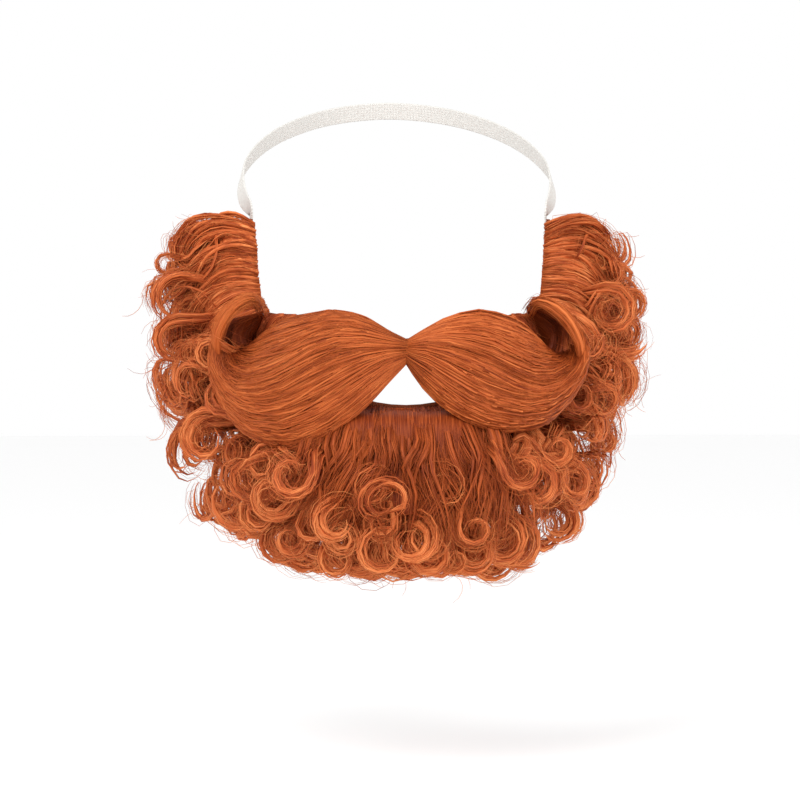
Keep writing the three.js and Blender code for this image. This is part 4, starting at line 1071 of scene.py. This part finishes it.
class Shading:
    """A material's nodes, with short ways to make the ones that are used often."""

    def __init__(self, name, roughness, specular):
        self.material = bpy.data.materials.new(name)
        self.material.use_nodes = True
        self.nodes, self.links = self.material.node_tree.nodes, self.material.node_tree.links
        self.shader = self.nodes["Principled BSDF"]
        self.shader.inputs["Roughness"].default_value = roughness
        self.shader.inputs["Specular IOR Level"].default_value = specular

    def attribute(self, key):
        node = self.nodes.new("ShaderNodeAttribute")
        node.attribute_name = key
        return node.outputs["Fac"]

    def object_place(self):
        return self.nodes.new("ShaderNodeTexCoord").outputs["Object"]

    def scaled(self, value, factor, added=0.0):
        node = self.nodes.new("ShaderNodeMath")
        node.operation = "MULTIPLY_ADD"
        self.links.new(value, node.inputs[0])
        node.inputs[1].default_value = factor
        if isinstance(added, float):
            node.inputs[2].default_value = added
        else:
            self.links.new(added, node.inputs[2])
        return node.outputs[0]

    def sine(self, value):
        node = self.nodes.new("ShaderNodeMath")
        node.operation = "SINE"
        self.links.new(value, node.inputs[0])
        return node.outputs[0]

    def vector(self, x, y):
        node = self.nodes.new("ShaderNodeCombineXYZ")
        self.links.new(x, node.inputs["X"])
        self.links.new(y, node.inputs["Y"])
        return node.outputs["Vector"]

    def noise(self, place, scale, detail):
        node = self.nodes.new("ShaderNodeTexNoise")
        node.inputs["Scale"].default_value = scale
        node.inputs["Detail"].default_value = detail
        self.links.new(place, node.inputs["Vector"])
        return node.outputs["Fac"]

    def rows(self, place, direction, pitch):
        """Bands across x, y or z of a place in metres, pitch mm apart."""
        node = self.nodes.new("ShaderNodeTexWave")
        node.bands_direction = direction
        node.inputs["Scale"].default_value = 2 * np.pi / (20 * pitch * MM)
        self.links.new(place, node.inputs["Vector"])
        return node.outputs["Fac"]

    def coloured(self, value, colours):
        """The base colour from a ramp over evenly spaced colours."""
        node = self.nodes.new("ShaderNodeValToRGB")
        ramp = node.color_ramp
        ramp.elements[0].color = (*colours[0], 1)
        ramp.elements[1].color = (*colours[-1], 1)
        for i, colour in enumerate(colours[1:-1], 1):
            ramp.elements.new(i / (len(colours) - 1)).color = (*colour, 1)
        self.links.new(value, node.inputs["Fac"])
        self.links.new(node.outputs["Color"], self.shader.inputs["Base Color"])

    def raised(self, value, strength, height):
        """The surface raised by value times height mm."""
        node = self.nodes.new("ShaderNodeBump")
        node.inputs["Strength"].default_value = strength
        node.inputs["Distance"].default_value = height * MM
        self.links.new(value, node.inputs["Height"])
        self.links.new(node.outputs["Normal"], self.shader.inputs["Normal"])


def hair_material(name, dark, middle, light, roughness, contrast=1.8):
    """Fibre: long narrow streaks across the hair's own run, on top of each strand's tone and slow
    patches over the whole beard, pick a colour between dark and light. The streaks raise it too."""
    look = Shading(name, roughness, 0.18)
    across = look.scaled(look.attribute("across"), 1 / streak_width)
    streaks = look.noise(look.vector(across, look.scaled(look.attribute("along"), 1 / streak_length)), 1.0, 3.0)
    patches = look.noise(look.object_place(), 70.0, 2.0)
    value = look.scaled(patches, 0.5, look.scaled(streaks, contrast, look.attribute("tone")))
    look.coloured(look.scaled(value, 1.0, -0.25 - contrast / 2), (dark, middle, light))
    look.raised(streaks, 0.6, 0.3)
    return look.material


def knit_material(name, colours, roughness):
    """Knitted fabric with the rows where the hair is sewn on: fine rows both ways, darker sewn rows
    and slow patches."""
    look = Shading(name, roughness, 0.1)
    place = look.object_place()
    knit = look.scaled(look.rows(place, "Z", 1.1), 0.5, look.scaled(look.rows(place, "X", 1.3), 0.5))
    sewn = look.rows(place, "Z", 7.0)
    value = look.scaled(look.noise(place, 60.0, 3.0), 0.6, look.scaled(knit, 0.35, look.scaled(sewn, 0.3)))
    look.coloured(look.scaled(value, 1.0, -0.15), colours)
    look.raised(knit, 0.6, 0.4)
    return look.material


def woven_material(name, colours, roughness):
    """Woven elastic: threads across it at each weft, and fine yarns along it."""
    look = Shading(name, roughness, 0.3)
    weft = look.sine(look.scaled(look.attribute("along"), 2 * np.pi / weft_pitch))
    yarns = look.noise(look.vector(look.scaled(look.attribute("across"), 4.0), look.scaled(look.attribute("along"), 0.4)), 1.0, 2.0)
    look.coloured(look.scaled(weft, 0.22, look.scaled(yarns, 1.0)), colours)
    look.raised(weft, 0.5, 0.15)
    return look.material


def plain_material(name, colour, roughness):
    material = bpy.data.materials.new(name)
    material.use_nodes = True
    shader = material.node_tree.nodes["Principled BSDF"]
    shader.inputs["Base Color"].default_value = (*colour, 1)
    shader.inputs["Roughness"].default_value = roughness
    return material


beard_fibre = hair_material("curled_fibre", (0.26, 0.038, 0.009), (0.64, 0.145, 0.036), (0.9, 0.31, 0.1), 0.55, 2.8)
moustache_fibre = hair_material("combed_fibre", (0.17, 0.022, 0.003), (0.48, 0.095, 0.019), (0.72, 0.19, 0.048), 0.5)
# The undercoat is a darker copy of the hair: painted shade between and under the strands.
shaded_undercoat_fibre = hair_material("shaded_undercoat_fibre", (0.15, 0.021, 0.005), (0.38, 0.068, 0.016), (0.58, 0.14, 0.036), 0.6)
backing_fabric = knit_material("backing_fabric", ((0.09, 0.02, 0.008), (0.2, 0.05, 0.02), (0.3, 0.085, 0.035)), 0.9)
elastic_weave = woven_material("elastic_weave", ((0.5, 0.48, 0.44), (0.78, 0.76, 0.72), (0.92, 0.91, 0.88)), 0.6)

# Pieces

for side, word, rows, rim in ((1, "left", LEFT_WING, LEFT_RIM), (-1, "right", RIGHT_WING, RIGHT_RIM)):
    wing = wing_hair("combed_wing_" + word, rows, rim, side, moustache_fibre, 12 - (side + 1) // 2)
    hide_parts("moustache_" + word)

tips = []
for side, node, word in ((1, "sideburn_left", "left"), (-1, "sideburn_right", "right")):
    rng = np.random.default_rng(20 + side)
    bundle = Bundle()
    curls_into(bundle, placed_curls(SIDEBURN_CURLS, np.sign(SIDEBURN_CURLS[:, 0]) == side), rng, 4, 5, 20)
    curls_into(bundle, filling_curls(SIDEBURN_ROWS, side, 100 if side > 0 else 200), rng)
    waves_into(bundle, hanging_waves(SIDEBURN_WAVES, side, rng), rng)
    paths, outward = swept_sideburn(side, 50, rng)
    combed_into(bundle, paths, outward, 3.4, 1.6, rng, fibres=9)
    tips += bundle.tips
    curls = bundle.mesh("sideburn_curls_" + word, beard_fibre)
    bed = bed_mesh("sideburn_undercoat_" + word, SIDEBURN_BED, side, shaded_undercoat_fibre, 0.5)
    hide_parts(node)

for side, word in ((1, "left"), (-1, "right")):
    rng = np.random.default_rng(40 + side)
    bundle = Bundle()
    curls_into(bundle, placed_curls(BEARD_CURLS, np.sign(BEARD_CURLS[:, 0]) == side), rng, 4, 5, 18)
    curls_into(bundle, filling_curls(BEARD_ROWS, side, 300 if side > 0 else 400), rng)
    tips += bundle.tips
    curls = bundle.mesh("beard_curls_" + word, beard_fibre)
    bundle = Bundle()
    waves_into(bundle, hanging_waves(BEARD_WAVES, side, rng), rng)
    paths, outward = bed_waves(BEARD_BED, side, 32, rng)
    combed_into(bundle, paths, outward, 3.2, 1.4, rng)
    # fade darkens the cheek locks from a third of the way on, painted shade; the locks under the wing are darker all
    # along too, middle 0.4, painted shade from the moustache above them.
    paths, outward = swept_cheek(side, 16, rng, 0.68, 0.81, 8, 20)
    combed_into(bundle, paths, outward, 3.6, 1.6, rng, fade=0.06)
    paths, outward = swept_cheek(side, 20, rng, 0.46, 0.74, 2, 7)
    combed_into(bundle, paths, outward, 3.6, 1.2, rng, middle=0.4, fade=0.38)
    tips += bundle.tips
    waves = bundle.mesh("beard_waves_" + word, beard_fibre)
    bed = bed_mesh("beard_undercoat_" + word, BEARD_BED, side, shaded_undercoat_fibre, 0.7)
    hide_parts("beard_hair")

rng = np.random.default_rng(60)
bundle = Bundle()
chin_body(bundle)
# The chin's hair is darker, middle 0.3: painted shade under the moustache.
waves_into(bundle, chin_waves(32, rng), rng, 4, 8, 16, 0.3, 0.07)
chin = bundle.mesh("chin_hair", moustache_fibre)
bundle = Bundle()
frizz(bundle, tips, 1100, rng)
loose = bundle.mesh("loose_hair", beard_fibre)

ribbed = ribbed_band("ribbed_band", elastic_weave)
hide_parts("elastic_band")

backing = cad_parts["face_backing"]
backing.data.materials.clear()
backing.data.materials.append(backing_fabric)

# Stage

floor = bpy.data.objects.new("floor", bpy.data.meshes.new("floor"))
reach = 4.0
floor.data.from_pydata(
    [(-reach, -reach, -0.2), (reach, -reach, -0.2), (reach, reach, -0.2), (-reach, reach, -0.2)], [], [(0, 1, 2, 3)])
floor.data.materials.append(plain_material("pale_floor", (0.96, 0.96, 0.96), 0.9))
bpy.context.scene.collection.objects.link(floor)

world = bpy.data.worlds.new("studio")
bpy.context.scene.world = world
world.use_nodes = True
world.node_tree.nodes["Background"].inputs["Color"].default_value = (1, 1, 1, 1)
world.node_tree.nodes["Background"].inputs["Strength"].default_value = 1.0


def soft_light(name, place, size, watts):
    lamp = bpy.data.lights.new(name, "AREA")
    lamp.shape = "DISK"
    lamp.size = size
    lamp.energy = watts
    obj = bpy.data.objects.new(name, lamp)
    obj.location = place
    obj.rotation_euler = (Vector(place) - Vector((0, 0.03, -0.02))).to_track_quat("Z", "Y").to_euler()
    bpy.context.scene.collection.objects.link(obj)


soft_light("key_light", (-0.6, -1.2, 1.1), 0.8, 11)
soft_light("fill_light", (0.9, -1.2, 0.5), 0.9, 5)

bpy.context.scene.view_settings.view_transform = "Standard"
